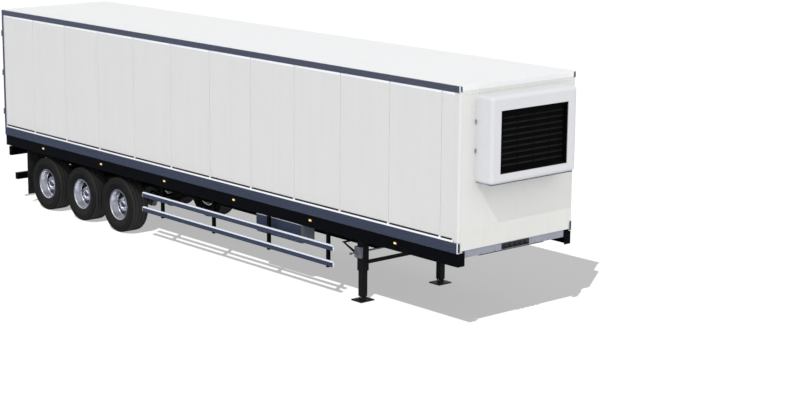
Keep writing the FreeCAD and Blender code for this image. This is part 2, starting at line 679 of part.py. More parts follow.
def arm(s, side):
    """Trailing arm from its eye over the axle to the air spring's seat."""
    low = TYRE_R + AXLE_R + SEAT_GAP
    pivot, pivot_z = s + ARM_PIVOT_AHEAD, TYRE_R + ARM_PIVOT_RISE
    seat, seat_z = s - SPRING_BEHIND, TYRE_R + SPRING_SEAT_RISE
    side_view = [
        (pivot, pivot_z - ARM_EYE_R), (s + ARM_SADDLE, low), (s - ARM_SADDLE, low),
        (seat + ARM_SEAT_HALF, seat_z - ARM_SEAT_THICK), (seat - ARM_SEAT_HALF, seat_z - ARM_SEAT_THICK),
        (seat - ARM_SEAT_HALF, seat_z), (seat + ARM_SEAT_HALF, seat_z),
        (s - ARM_SADDLE, low + ARM_DEPTH), (s + ARM_SADDLE, low + ARM_DEPTH), (pivot, pivot_z + ARM_EYE_R),
    ]
    y0, y1 = side * (BEAM_Y - ARM_WIDTH / 2), side * (BEAM_Y + ARM_WIDTH / 2)
    body = fuse([prism_y(side_view, y0, y1), rod((pivot, y0, pivot_z), (pivot, y1, pivot_z), ARM_EYE_R)])
    return body.cut(rod((pivot, y0 - side, pivot_z), (pivot, y1 + side, pivot_z), ARM_PIN_R + PIN_CLEARANCE))


def hanger(s, side):
    """Two cheeks under the chassis beam with the arm's pin through them."""
    pivot, pivot_z = s + ARM_PIVOT_AHEAD, TYRE_R + ARM_PIVOT_RISE
    inner = ARM_WIDTH / 2 + HANGER_GAP
    outer = inner + HANGER_CHEEK
    half, tip = HANGER_LENGTH / 2, HANGER_TIP / 2
    side_view = [(pivot - half, BEAM_LOW), (pivot + half, BEAM_LOW), (pivot + tip, pivot_z - HANGER_TIP_DROP),
                 (pivot - tip, pivot_z - HANGER_TIP_DROP)]
    end = outer + HANGER_PIN_PROUD
    return fuse([
        prism_y(side_view, side * (BEAM_Y - outer), side * (BEAM_Y - inner)),
        prism_y(side_view, side * (BEAM_Y + inner), side * (BEAM_Y + outer)),
        box((pivot - half, pivot + half), (side * (BEAM_Y - outer), side * (BEAM_Y + outer)),
            (BEAM_LOW - HANGER_TOP_PLATE, BEAM_LOW)),
        rod((pivot, side * (BEAM_Y - end), pivot_z), (pivot, side * (BEAM_Y + end), pivot_z), ARM_PIN_R)])


def air_spring(s, side):
    """Rubber bellows of two folds between the arm's seat and the chassis beam."""
    low, high = TYRE_R + SPRING_SEAT_RISE, BEAM_LOW
    fold = (high - low) / 2
    step = fold * (1 - SPRING_FOLD) / 2
    bellows = [(0, 0), (0, SPRING_PLATE_R), (step, SPRING_R), (fold - step, SPRING_R), (fold, SPRING_WAIST_R),
               (fold + step, SPRING_R), (2 * fold - step, SPRING_R), (2 * fold, SPRING_PLATE_R),
               (2 * fold, 0)]
    return turned(bellows, s - SPRING_BEHIND, side * BEAM_Y, low, V(0, 0, 1))


def shock_absorber(s, side):
    """Tube and rod between a pin on the arm and a lug under the chassis beam."""
    y = side * (BEAM_Y - SHOCK_IN)
    foot = (s + SHOCK_FOOT_AHEAD, y, TYRE_R + SHOCK_FOOT_RISE)
    head = (s + SHOCK_HEAD_AHEAD, y, BEAM_LOW - SHOCK_HEAD_DROP)
    middle = tuple((a + b) / 2 for a, b in zip(foot, head))
    half = SHOCK_LUG / 2
    arm_face = side * (BEAM_Y - ARM_WIDTH / 2)
    pieces = [rod(foot, middle, SHOCK_R), rod(middle, head, SHOCK_ROD_R),
              rod((foot[0], y, foot[2]), (foot[0], arm_face, foot[2]), SHOCK_PIN_R),
              box((head[0] - half, head[0] + half), (y, arm_face), (head[2], BEAM_LOW))]
    for place in (foot, head):
        pieces.append(rod((place[0], y - half, place[2]), (place[0], y + half, place[2]), SHOCK_EYE_R))
    return fuse(pieces)


def brake_chamber(s, side):
    """Two-part brake cylinder ahead of the axle with the bracket that carries it."""
    y, z = side * BEAM_Y, TYRE_R + BRAKE_RISE
    rear = s + BRAKE_AHEAD
    clamp = rear + BRAKE_LENGTH
    half = BRAKE_BRACKET / 2
    return fuse([
        rod((rear, y, z), (clamp, y, z), BRAKE_R),
        rod((clamp - BRAKE_CLAMP, y, z), (clamp, y, z), BRAKE_CLAMP_R),
        rod((clamp, y, z), (clamp + BRAKE_SPRING_LENGTH, y, z), BRAKE_SPRING_R),
        box((s + AXLE_R + SEAT_GAP, rear), (y - half, y + half), (TYRE_R - half, TYRE_R + half))])


def make_suspension():
    places = [(s, side) for s in AXLES for name, side in SIDES]
    add("trailing_arms", [arm(s, side) for s, side in places])
    add("hanger_brackets", [hanger(s, side) for s, side in places])
    add("air_springs", [air_spring(s, side) for s, side in places])
    add("shock_absorbers", [shock_absorber(s, side) for s, side in places])
    add("brake_chambers", [brake_chamber(s, side) for s, side in places])


# ---- chassis ----------------------------------------------------------------------------------

def chassis_beam(side):
    """I-beam whose lower flange rises to the neck ahead of the landing legs."""
    web = prism_y([(BEAM_REAR, BEAM_LOW), (NECK_FROM, BEAM_LOW), (NECK_TO, NECK_LOW), (BEAM_FRONT, NECK_LOW),
                   (BEAM_FRONT, FLOOR_LOW), (BEAM_REAR, FLOOR_LOW)], side * WEB_IN, side * WEB_OUT)
    t = BEAM_FLANGE_THICK
    y = (side * (BEAM_Y - BEAM_FLANGE / 2), side * (BEAM_Y + BEAM_FLANGE / 2))
    lower = prism_y([(BEAM_REAR, BEAM_LOW), (NECK_FROM, BEAM_LOW), (NECK_TO, NECK_LOW),
                     (BEAM_FRONT, NECK_LOW), (BEAM_FRONT, NECK_LOW + t), (NECK_TO, NECK_LOW + t),
                     (NECK_FROM, BEAM_LOW + t), (BEAM_REAR, BEAM_LOW + t)], *y)
    upper = box((BEAM_REAR, BEAM_FRONT), y, (FLOOR_LOW - t, FLOOR_LOW))
    return fuse([web, lower, upper])


def channel(s, y):
    """Channel section along Y, open to the rear."""
    w = CROSS_WALL
    outer = box((s, s + CROSS_DEPTH), y, (CROSS_LOW, CROSS_TOP))
    inner = box((s - 1, s + CROSS_DEPTH - w), y, (CROSS_LOW + w, CROSS_TOP - w))
    return outer.cut(inner)


def make_chassis():
    add("chassis_beams", both(chassis_beam))
    add("cross_members", [channel(s, (-WEB_IN, WEB_IN)) for s in CROSS_STATIONS])
    skirt_in = SKIRT_OUT - SKIRT_WALL
    add("outriggers", [channel(s, (side * WEB_OUT, side * skirt_in)) for s in CROSS_STATIONS
                       for name, side in SIDES])
    add("side_skirts", both(skirt))
    make_kingpin()


def make_kingpin():
    """Coupling plate with the kingpin through it, hung by the flange on top of the plate."""
    low, half = NECK_LOW - PLATE_THICK, BEAM_Y + BEAM_FLANGE / 2
    plate = box((PLATE_REAR, PLATE_FRONT), (-half, half), (low, NECK_LOW))
    hole = rod((KINGPIN_AT, 0, low - 1), (KINGPIN_AT, 0, NECK_LOW + 1), KINGPIN_COLLAR_R + SEAT_GAP)
    add("coupling_plate", plate.cut(hole))
    collar_low = low - KINGPIN_COLLAR
    throat_low = collar_low - KINGPIN_THROAT
    steps = (  # from height, to height, radius
        (NECK_LOW, NECK_LOW + KINGPIN_FLANGE, KINGPIN_FLANGE_R),
        (collar_low, NECK_LOW, KINGPIN_COLLAR_R),
        (throat_low, collar_low, KINGPIN_R),
        (throat_low - KINGPIN_FOOT, throat_low, KINGPIN_COLLAR_R),
    )
    add("kingpin", fuse([rod((KINGPIN_AT, 0, z0), (KINGPIN_AT, 0, z1), r) for z0, z1, r in steps]))


def skirt(side):
    """Channel hung under the lower rail, open inboard, with a plate across its front end."""
    w = SKIRT_WALL
    outer = box((0, BOX_LENGTH), (side * (SKIRT_OUT - SKIRT_DEPTH), side * SKIRT_OUT),
                (SKIRT_LOW, LOWER_RAIL_LOW))
    inner = box((-1, BOX_LENGTH + 1), (side * (SKIRT_OUT - SKIRT_DEPTH - 1), side * (SKIRT_OUT - w)),
                (SKIRT_LOW + w, LOWER_RAIL_LOW - w))
    end = box((BOX_LENGTH - w, BOX_LENGTH), (side * (SKIRT_OUT - SKIRT_RETURN), side * SKIRT_OUT),
              (SKIRT_LOW, LOWER_RAIL_LOW))
    return fuse([outer.cut(inner), end])


# ---- landing legs -----------------------------------------------------------------------------

def leg_tube(side):
    """Square tube with its mount on the chassis beam and a brace up to the beam."""
    half = LEG_TUBE / 2
    tube = box((LEG_AT - half, LEG_AT + half), (side * (LEG_Y - half), side * (LEG_Y + half)),
               (LEG_TUBE_LOW, LEG_TOP))
    mount_top = LEG_TOP - LEG_MOUNT_DROP
    mount = box((LEG_AT - half + LEG_MOUNT_STEP, LEG_AT + half - LEG_MOUNT_STEP),
                (side * WEB_OUT, side * (LEG_Y - half)), (mount_top - LEG_MOUNT_HEIGHT, mount_top))
    face = LEG_Y - half
    head = LEG_AT - half - BRACE_BACK
    brace = prism_y([(LEG_AT - half, BRACE_LOW), (LEG_AT - half, BRACE_LOW + BRACE_DEPTH),
                     (head + BRACE_DEPTH, BEAM_LOW), (head, BEAM_LOW)],
                    side * (face - BRACE_THICK), side * face)
    knee = box((LEG_AT - half, LEG_AT), (side * (face - BRACE_THICK), side * face),
               (BRACE_LOW, BRACE_LOW + BRACE_DEPTH))
    shoe = box((head, head + BRACE_DEPTH), (side * (BEAM_Y + BEAM_FLANGE / 4), side * face),
               (BEAM_LOW - BRACE_THICK, BEAM_LOW))
    return fuse([tube, mount, brace, knee, shoe])


def leg_foot(side):
    half = LEG_INNER / 2
    slim = half - ANKLE_STEP
    inner = box((LEG_AT - half, LEG_AT + half), (side * (LEG_Y - half), side * (LEG_Y + half)),
                (FOOT_THICK + ANKLE, LEG_TUBE_LOW))
    ankle = box((LEG_AT - slim, LEG_AT + slim), (side * (LEG_Y - slim), side * (LEG_Y + slim)),
                (FOOT_THICK, FOOT_THICK + ANKLE))
    sole = box((LEG_AT - FOOT_LENGTH / 2, LEG_AT + FOOT_LENGTH / 2),
               (side * (LEG_Y - FOOT_WIDTH / 2), side * (LEG_Y + FOOT_WIDTH / 2)), (0, FOOT_THICK))
    return fuse([inner, ankle, sole])


def make_legs():
    add("landing_feet", both(leg_foot))
    half = LEG_TUBE / 2
    face = LEG_Y - half
    tie = box((LEG_AT + half - TIE_DEPTH, LEG_AT + half), (-face, face), (TIE_LOW, TIE_LOW + TIE_HEIGHT))
    add("landing_leg_tubes", fuse(both(leg_tube) + [tie]))
    shaft = rod((LEG_AT, -face, CRANK_Z), (LEG_AT, face, CRANK_Z), CROSS_SHAFT_R)
    wall = LEG_Y + half
    case = box((LEG_AT - GEARBOX_LENGTH / 2, LEG_AT + GEARBOX_LENGTH / 2), (-wall - GEARBOX_DEPTH, -wall),
               (CRANK_Z - GEARBOX_HEIGHT / 2, CRANK_Z + GEARBOX_HEIGHT / 2))
    tip = HALF - CRANK_INSET
    handle = rod((LEG_AT, -tip, CRANK_Z), (LEG_AT, -wall, CRANK_Z), CRANK_R)
    knob = rod((LEG_AT, -tip, CRANK_Z), (LEG_AT, -tip + CRANK_KNOB, CRANK_Z), CRANK_KNOB_R)
    add("crank_gear", [shaft, fuse([case, handle, knob])])


# ---- side guards, tank and air tanks ----------------------------------------------------------

def guard_rail(side, low):
    """Rail section with its upper outer edge bevelled."""
    inner, top = GUARD_OUT - GUARD_DEPTH, low + GUARD_HEIGHT
    section = [(inner, low), (GUARD_OUT - GUARD_EDGE, low), (GUARD_OUT, low + GUARD_EDGE),
               (GUARD_OUT, top - GUARD_BEVEL), (GUARD_OUT - GUARD_BEVEL, top), (inner, top)]
    bar = prism_x([(side * y, z) for y, z in section], GUARD_REAR, GUARD_FRONT)
    ends = edges_along(bar, V(0, 0, 1), lambda c: abs(c.y) > GUARD_OUT - 1)
    return bar.makeChamfer(GUARD_EDGE, ends)


def guard_post(side, s):
    """Post under the skirt with its lower end bevelled."""
    half, outer = GUARD_POST_LENGTH / 2, GUARD_OUT - GUARD_DEPTH
    low, tip = GUARD_POST_LOW, GUARD_POST_TIP
    side_view = [(s - half, low + tip), (s - half + tip, low), (s + half - tip, low), (s + half, low + tip),
                 (s + half, SKIRT_LOW), (s - half, SKIRT_LOW)]
    return prism_y(side_view, side * (outer - GUARD_POST_DEPTH), side * outer)


def make_guards():
    add("side_guard_rails", [guard_rail(side, low) for name, side in SIDES for low in GUARD_LOWS])
    stations = [GUARD_POST_FIRST + i * GUARD_POST_PITCH for i in range(GUARD_POST_COUNT)]
    add("side_guard_posts", [guard_post(side, s) for name, side in SIDES for s in stations])


def make_tanks():
    top = SKIRT_LOW - TANK_UNDER_SKIRT
    low = top - TANK_HEIGHT
    outer = HALF - TANK_INSET
    inner = outer - TANK_WIDTH
    tank = box((TANK_REAR, TANK_FRONT), (-outer, -inner), (low, top))
    tank = tank.makeFillet(TANK_CORNER, edges_along(tank, V(0, 0, 1), lambda c: True))
    tank = tank.makeFillet(TANK_BELLY, [e for e in tank.Edges if e.BoundBox.ZMax < low + 1])
    pieces = [tank]
    quarter = (TANK_FRONT - TANK_REAR) / 4
    half = TANK_BRACKET / 2
    bracket_z = (BEAM_LOW + BEAM_FLANGE_THICK, top - TANK_BRACKET_TRIM)
    for s in (TANK_REAR + quarter, TANK_FRONT - quarter):
        pieces.append(box((s - half, s + half), (-inner, -WEB_OUT), bracket_z))
    filler = (TANK_FRONT - FILLER_BACK, -(outer - FILLER_IN))
    pieces.append(rod((*filler, top - 1), (*filler, top + FILLER_RISE), FILLER_R))
    add("fuel_tank", fuse(pieces))
    z = CROSS_LOW - SEAT_GAP - AIR_TANK_R
    rear = CROSS_STATIONS[AIR_TANK_MEMBER_COUNT] + (CROSS_DEPTH - AIR_TANK_LENGTH) / 2
    r, bevel = AIR_TANK_R, AIR_TANK_ROUND
    section = [(0, 0), (0, r - bevel), (bevel, r), (AIR_TANK_LENGTH - bevel, r), (AIR_TANK_LENGTH, r - bevel),
               (AIR_TANK_LENGTH, 0)]
    add("air_tanks", both(lambda side: turned(section, rear, side * (BEAM_Y - AIR_TANK_IN), z, V(1, 0, 0))))


# ---- tail and lamps ---------------------------------------------------------------------------

def make_tail():
    half = HALF - LAMP_BEAM_INSET
    low = BEAM_LOW + LAMP_BEAM_RISE
    add("rear_lamp_beam", box((LAMP_BEAM_REAR, BEAM_REAR), (-half, half), (low, low + LAMP_BEAM_HEIGHT)))
    lamp_low = low + (LAMP_BEAM_HEIGHT - REAR_LAMP_HEIGHT) / 2
    edge = half - REAR_LAMP_MARGIN
    add("rear_lamps", both(lambda side: rear_lamp(side, edge, lamp_low)))
    front = UNDER_RUN_REAR + UNDER_RUN_DEPTH
    half = HALF - UNDER_RUN_INSET
    top = UNDER_RUN_LOW + UNDER_RUN_HEIGHT
    bar = box((UNDER_RUN_REAR, front), (-half, half), (UNDER_RUN_LOW, top))
    bar = bar.makeChamfer(UNDER_RUN_BEVEL, edges_along(bar, V(0, 1, 0), lambda c: True))
    arm_half = UNDER_RUN_ARM / 2
    arms = both(lambda side: box((UNDER_RUN_REAR + UNDER_RUN_BEVEL, front - UNDER_RUN_BEVEL),
                                 (side * (BEAM_Y - arm_half), side * (BEAM_Y + arm_half)), (top, BEAM_LOW)))
    add("under_run_bar", fuse([bar] + arms))
    add("mud_flaps", both(mud_flap))
    add("dock_buffers", both(dock_buffer))


def rear_lamp(side, edge, low):
    lamp = box((LAMP_BEAM_REAR - REAR_LAMP_PROUD, LAMP_BEAM_REAR),
               (side * (edge - REAR_LAMP_WIDTH), side * edge), (low, low + REAR_LAMP_HEIGHT))
    return lamp.makeFillet(REAR_LAMP_ROUND, edges_along(lamp, V(1, 0, 0), lambda c: True))


def dock_buffer(side):
    low, y = LOWER_RAIL_LOW + BUFFER_RISE, HALF - BUFFER_INSET
    buffer = box((-BUFFER_PROUD, 0), (side * (y - BUFFER_WIDTH / 2), side * (y + BUFFER_WIDTH / 2)),
                 (low, low + BUFFER_HEIGHT))
    rear = 1 - MIDDLE - BUFFER_PROUD
    return buffer.makeChamfer(BUFFER_BEVEL, [e for e in buffer.Edges if e.BoundBox.XMax < rear])


def mud_flap(side):
    """Flap on a rod that stands out from the chassis beam."""
    outer, top = HALF - FLAP_INSET, BEAM_LOW + FLAP_OVER_BEAM
    sheet = box((FLAP_AT, FLAP_AT + FLAP_THICK), (side * (outer - FLAP_WIDTH), side * outer), (FLAP_LOW, top))
    at = FLAP_AT + FLAP_THICK + FLAP_ROD_R - 2
    bar = rod((at, side * WEB_OUT, top - FLAP_ROD_R), (at, side * outer, top - FLAP_ROD_R), FLAP_ROD_R)
    return fuse([sheet, bar])


def make_marker_lamps():
    lamps = []
    z, half = SKIRT_LOW + LAMP_RISE, LAMP_HEIGHT / 2
    for name, side in SIDES:
        for i in range(LAMP_COUNT):
            s = LAMP_FIRST + i * LAMP_PITCH
            lamp = box((s - LAMP_LENGTH / 2, s + LAMP_LENGTH / 2),
                       (side * SKIRT_OUT, side * (SKIRT_OUT + LAMP_PROUD)), (z - half, z + half))
            lamps.append(lamp.makeFillet(LAMP_ROUND, edges_along(lamp, V(0, 1, 0), lambda c: True)))
    add("marker_lamps", lamps)


# ---- cooling unit and couplings ---------------------------------------------------------------

def make_unit():
    front = BOX_LENGTH + UNIT_DEPTH
    half, top = HALF - UNIT_INSET, ROOF_TOP - UNIT_UNDER_ROOF
    low = top - UNIT_HEIGHT
    housing = box((BOX_LENGTH, front), (-half, half), (low, top))
    back = BOX_LENGTH - MIDDLE + 1
    rounds = [e for e in housing.Edges if e.CenterOfMass.x > back]
    housing = housing.makeFillet(UNIT_ROUND, rounds)
    g_half, g_low, g_top = half - GRILLE_INSET, low + GRILLE_OVER_FOOT, top - GRILLE_UNDER_TOP
    recess = box((front - GRILLE_RECESS, front + 1), (-g_half, g_half), (g_low, g_top))
    add("cooling_unit", housing.cut(recess))
    add("unit_grille", grille(front - GRILLE_RECESS, g_half, g_low, g_top))
    wall = BOX_LENGTH - FRONT_WALL
    rear, foot = wall - EVAPORATOR_LENGTH, ROOF_LOW - EVAPORATOR_HEIGHT
    casing = [(wall, foot), (wall, ROOF_LOW), (rear, ROOF_LOW), (rear, foot + EVAPORATOR_SLOPE),
              (rear + EVAPORATOR_SLOPE, foot)]
    add("evaporator", prism_y(casing, -EVAPORATOR_HALF, EVAPORATOR_HALF))


def grille(back, half, low, top):
    """Frame with sloping slats in front of a back plate."""
    b, face = GRILLE_BORDER, back + GRILLE_DEPTH
    plate = back + GRILLE_PLATE
    frame = box((back, face), (-half, half), (low, top))
    opening = box((plate, face + 1), (-half + b, half - b), (low + b / 2, top - b / 2))
    gap = (top - low - b) / (SLAT_COUNT + 1)
    tip = min(face, plate + SLAT_DEPTH)
    lean = SLAT_DEPTH / 2
    slats = []
    for i in range(1, SLAT_COUNT + 1):
        z = low + b / 2 + i * gap
        slats.append(prism_y([(plate - 1, z + lean), (plate - 1, z + lean - SLAT_THICK),
                              (tip, z - lean), (tip, z - lean + SLAT_THICK)], -half + b, half - b))
    return fuse([frame.cut(opening)] + slats)


def make_couplings():
    mid, half = (SILL_LOW + SILL_TOP) / 2, COUPLING_PANEL_HEIGHT / 2
    pieces = [box((SILL_FRONT, SILL_FRONT + COUPLING_PANEL_THICK),
                  (-COUPLING_PANEL_WIDTH / 2, COUPLING_PANEL_WIDTH / 2), (mid - half, mid + half))]
    tip = SILL_FRONT + COUPLING_PANEL_THICK + COUPLING_LENGTH
    for i in range(COUPLING_COUNT):
        y = (i - (COUPLING_COUNT - 1) / 2) * COUPLING_PITCH
        pieces.append(rod((SILL_FRONT, y, mid), (tip, y, mid), COUPLING_R))
    add("front_couplings", fuse(pieces))


def main():
    for make in (make_box, make_rear, make_wheels, make_suspension, make_chassis, make_legs, make_guards,
                 make_tanks, make_tail, make_marker_lamps, make_unit, make_couplings):
        make()
    os.makedirs("parts", exist_ok=True)
    for name, solids in NODES.items():
        shape = solids[0] if len(solids) == 1 else Part.makeCompound(solids)
        shape.exportStep("parts/%s.step" % name)
        print("%-22s solids %2d valid %s volume %.5f m3" % (
            name, len(shape.Solids), shape.isValid(), shape.Volume / 1e9))


main()
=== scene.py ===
"""Refrigerated semi-trailer parked on its landing legs: its pieces, finishes and stage."""
import json
import math

import bmesh
import bpy
from bpy.props import FloatProperty, FloatVectorProperty, IntProperty, PointerProperty
from mathutils import Matrix, Vector
from mathutils.bvhtree import BVHTree

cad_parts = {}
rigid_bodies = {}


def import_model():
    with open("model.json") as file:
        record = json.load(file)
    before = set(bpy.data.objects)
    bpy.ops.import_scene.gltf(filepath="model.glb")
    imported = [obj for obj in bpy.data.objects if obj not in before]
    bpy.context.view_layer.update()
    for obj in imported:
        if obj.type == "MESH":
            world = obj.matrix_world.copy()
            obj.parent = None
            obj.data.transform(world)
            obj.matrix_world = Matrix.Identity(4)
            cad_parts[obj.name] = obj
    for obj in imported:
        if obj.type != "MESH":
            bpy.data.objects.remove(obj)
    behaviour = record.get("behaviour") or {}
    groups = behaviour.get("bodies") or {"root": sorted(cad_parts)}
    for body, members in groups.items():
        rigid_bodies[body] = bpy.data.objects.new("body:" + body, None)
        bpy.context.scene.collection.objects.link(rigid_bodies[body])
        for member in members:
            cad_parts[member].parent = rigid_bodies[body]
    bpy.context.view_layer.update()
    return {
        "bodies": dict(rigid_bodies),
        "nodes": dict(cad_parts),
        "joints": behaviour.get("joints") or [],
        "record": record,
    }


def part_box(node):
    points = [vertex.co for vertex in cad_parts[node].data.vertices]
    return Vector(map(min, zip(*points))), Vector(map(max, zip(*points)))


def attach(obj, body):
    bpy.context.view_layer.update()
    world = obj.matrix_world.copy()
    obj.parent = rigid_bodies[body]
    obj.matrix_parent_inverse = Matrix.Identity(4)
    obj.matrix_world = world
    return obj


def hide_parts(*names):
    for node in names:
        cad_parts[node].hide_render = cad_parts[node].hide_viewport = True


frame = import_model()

bl_info = {
    "name": "Refrigerated semi-trailer",
    "version": (1, 0, 0),
    "blender": (4, 5, 0),
    "location": "View3D > Sidebar > Trailer",
    "description": "Builds a refrigerated box semi-trailer piece by piece",
    "category": "Object",
}

SIDES = (("right", -1), ("left", 1))
SLOT_OF = {part["node"]: part["material_slot"] for part in frame["record"]["subparts"]}
BODY_OF = {node: body for body, nodes in frame["record"]["behaviour"]["bodies"].items() for node in nodes}
JOINT = {joint["child"]: joint for joint in frame["joints"]}
WHEELS = {name[len("wheel_"):]: Vector(JOINT[name]["pos_m"]) for name in frame["bodies"]
          if name.startswith("wheel_")}
X, Y, Z = Vector((1, 0, 0)), Vector((0, 1, 0)), Vector((0, 0, 1))

WALL_INSET = 0.01        # side wall behind the rails' outer faces
LIP_HEIGHT = 0.045       # white lip over each lower rail, brighter than the wall as a painted highlight
TOP_LIP = 0.04           # white strip under each upper rail, a painted highlight
SLIT_END = 0.022         # from a seam to the painted shade in the slit on each side of it
PANEL_PITCH = 1.2        # from one seam of a side wall to the next
CAP_LENGTH = 0.012       # of the rails' end caps, pale as painted highlights
RAIL_WIDTH = 0.06        # of the rails' ends, from side to side
RIVET_END = 0.05         # from an edge to the nearest rivet of a row
LOCK_GUIDES = 4          # guides on each lock bar
LOCK_GUIDE_END = 0.094   # from a bar's end to its outermost guide
LOCK_GUIDE_HALF = 0.022
GRIP_HEIGHT = 0.461      # lock bars' grips over the leaf's lower edge
STRAP_BOLTS = (0.21, 0.05)  # first and last bolt of a hinge strap, in from the leaf's outer edge
BEAM_FLANGE_HALF = 0.07
LINE_FRONT = 2.9         # air lines' ends, behind the beams' front ends
LINE_CLIP_PITCH = 0.8
TANK_FILLER_BACK = 0.11  # filler, behind the tank's front end
TANK_FILLER_IN = 0.075   # filler, in from the tank's outer side
FLAP_WIDTH = 0.446
SCUFF_HEIGHT = 0.28      # scuff plates over the load floor
CLAMP_BOLTS = (0.076, 0.034)  # an axle's clamping bolts, along and across from its middle
LEG_BANDS = (0.72, 1.14)  # heights of the bands on a landing leg
LAMP_RADIUS = 0.042
REFLECTOR_RADIUS = 0.085
PLATE_HALF = (0.26, 0.055)  # number plate's half width and half height
BAR_ARM = 0.65           # under-run bar's arms, out from the middle plane
LATCH_HEIGHTS = (0.5, 0.955)  # cooling unit's latches over its underside
TYRE_HALF = 0.1925       # half of the tyre's width
TREAD_HALF = 0.168
BEAD = 0.286             # radius of the rim's bead seats
RIM_EDGE = 0.302         # radius of the rim's flanges
RIM_SIDE = 0.162         # from the wheel's middle to the rim's outer edge
DISC_FACE = 0.0075       # disc's outer face, outboard of the wheel's middle
DISC_THICK = 0.014
HUB_RADIUS = 0.138
HUB_FACE = 0.0345        # hub's clamping face, outboard of the wheel's middle
HOLE_CIRCLE = 0.214      # radius of the circle of hand holes
VALVE_RADIUS = 0.24      # valve's place on the disc
GRILLE_BORDER = 0.03
LOUVRE_ANGLE = math.radians(38)
FANS = (-0.52, 0.0, 0.52)  # fans' middles across the evaporator
FAN_RADIUS = 0.105
COUPLINGS = 5
SAME_PLACE = 0.00002     # vertices nearer than this are one
SHARP = math.radians(35)  # edges sharper than this are rounded
SUN_FROM = (0.47, -0.717, 1.0)
SUNS = (("sun", 0.98), ("floor_sun", 21.0))  # name and energy; the second lights the floor alone
SKY = (0.7, 1.09)        # strength of the sky behind the trailer and ahead of it
FLOOR_GLOW = 0.445       # strength of the floor's own light
FILM = (36.0, 0.1296, -0.0189)  # sensor's width in mm, and the lens's shift across and up

# Side wall of a tyre's section: inset from its widest place, drop from its tread.
TYRE_WALL = ((0.013, 0.01), (0.0055, 0.019), (0.004, 0.034), (0.006, 0.038), (0.002, 0.06), (0.0005, 0.085),
             (0.0, 0.11), (0.002, 0.14), (0.0045, 0.143), (0.008, 0.17), (0.018, 0.2))
# Sections of an air spring: share of its height, share of its half width.
PISTON = ((0, 0), (0, 0.7), (0.3, 0.62), (0.34, 0.6), (0.34, 0))
BELLOWS = ((0.2, 0), (0.2, 0.66), (0.14, 0.76), (0.13, 0.88), (0.2, 0.98), (0.34, 1), (0.55, 0.985),
           (0.56, 0.965), (0.58, 0.985), (0.78, 1), (0.9, 0.95), (0.965, 0.78), (0.965, 0))
TOP_PLATE = ((0.955, 0), (0.955, 0.8), (1, 0.8), (1, 0))

FINISHES = {}
TREES = {}


def linear(code):
    """sRGB hex colour as linear red, green, blue and alpha."""
    parts = [int(code[i:i + 2], 16) / 255 for i in (0, 2, 4)]
    return tuple(c / 12.92 if c <= 0.04045 else ((c + 0.055) / 1.055) ** 2.4 for c in parts) + (1.0,)


# ---- sizes and colours a user would change ------------------------------------------------------

def length(name, about, value):
    return FloatProperty(name=name, description=about, default=value, min=0.0, unit="LENGTH")


def tally(name, about, value, least, most):
    return IntProperty(name=name, description=about, default=value, min=least, max=most)


def bearing(name, about, degrees):
    return FloatProperty(name=name, description=about, default=math.radians(degrees), subtype="ANGLE")


def paint(name, about, code):
    return FloatVectorProperty(name=name, description=about, default=linear(code), size=4, min=0.0, max=1.0,
                               subtype="COLOR")


class TrailerColours(bpy.types.PropertyGroup):
    panels: paint("Panels", "Gel-coated side and door panels", "D6D6D6")
    # front: lighter than the panels, painted light for the brighter lighting on the front
    front: paint("Front", "Gel-coated front wall and the front of its posts", "DDDDDA")
    roof: paint("Roof", "Roof skin", "ECEDEE")
    rails: paint("Rails", "Anodised rails and rear frame", "AFB3BE")
    guards: paint("Guards", "Anodised side guard rails", "BDC1CF")
    sill: paint("Front sill", "Sill under the front wall", "9296A2")
    skirt: paint("Skirt", "Satin black skirt, bumper beams and guard posts", "050608")
    chassis: paint("Chassis", "Chassis, axles and landing legs", "090A0B")
    tank: paint("Tank", "Fuel tank of the cooling unit", "3E4A62")
    unit: paint("Cooling unit", "Moulded housing of the cooling unit", "D3D4D7")
    tyre: paint("Tyre", "Tyre rubber", "0F0F0E")
    amber: paint("Amber lens", "Side marker lamps", "EBB552")
    red: paint("Red lens", "Rear lamps", "A01414")


class TrailerSizes(bpy.types.PropertyGroup):
    rivet_pitch: length("Rivet pitch", "Distance between the rivets of a rail", 0.12)
    rivet_radius: length("Rivet radius", "Radius of a rivet's head", 0.0055)
    groove_pitch: length("Floor pitch", "Distance between the ribs of the load floor", 0.05)
    groove_depth: length("Floor ribs", "Height of the ribs of the load floor", 0.008)
    wheel_nuts: tally("Wheel nuts", "Nuts on each wheel", 10, 3, 20)
    nut_circle: length("Nut circle", "Radius of the circle of wheel nuts", 0.1125)
    hand_holes: tally("Hand holes", "Holes round each wheel disc", 10, 0, 20)
    hand_hole_radius: length("Hand hole radius", "Radius of the holes in a wheel disc", 0.031)
    tread_grooves: tally("Tread grooves", "Grooves round each tyre", 4, 0, 6)
    tread_depth: length("Tread depth", "Depth of the grooves round a tyre", 0.011)
    louvres: tally("Louvres", "Slats in the cooling unit's grille", 9, 2, 30)
    flap_ribs: tally("Flap ribs", "Upright ribs on a mud flap", 14, 2, 40)


class TrailerStage(bpy.types.PropertyGroup):
    floor_size: length("Floor", "Width of the floor", 160.0)
    camera_turn: bearing("Turn", "Camera's turn about the upright axis", 50.716)
    camera_tilt: bearing("Tilt", "Camera's tilt down from level", 11.765)
    camera_place: FloatVectorProperty(name="Place", description="Camera's place", size=3, subtype="XYZ",
                                      unit="LENGTH", default=(26.644, -20.870, 8.253))
    camera_lens: FloatProperty(name="Lens", description="Focal length in millimetres", default=83.36)


# ---- materials ----------------------------------------------------------------------------------

def add(tree, kind, links=None, **settings):
    """Adds a node with its settings and feeds its sockets."""
    node = tree.nodes.new(kind)
    for name, value in settings.items():
        setattr(node, name, value)
    feed(tree, node, links or {})
    return node


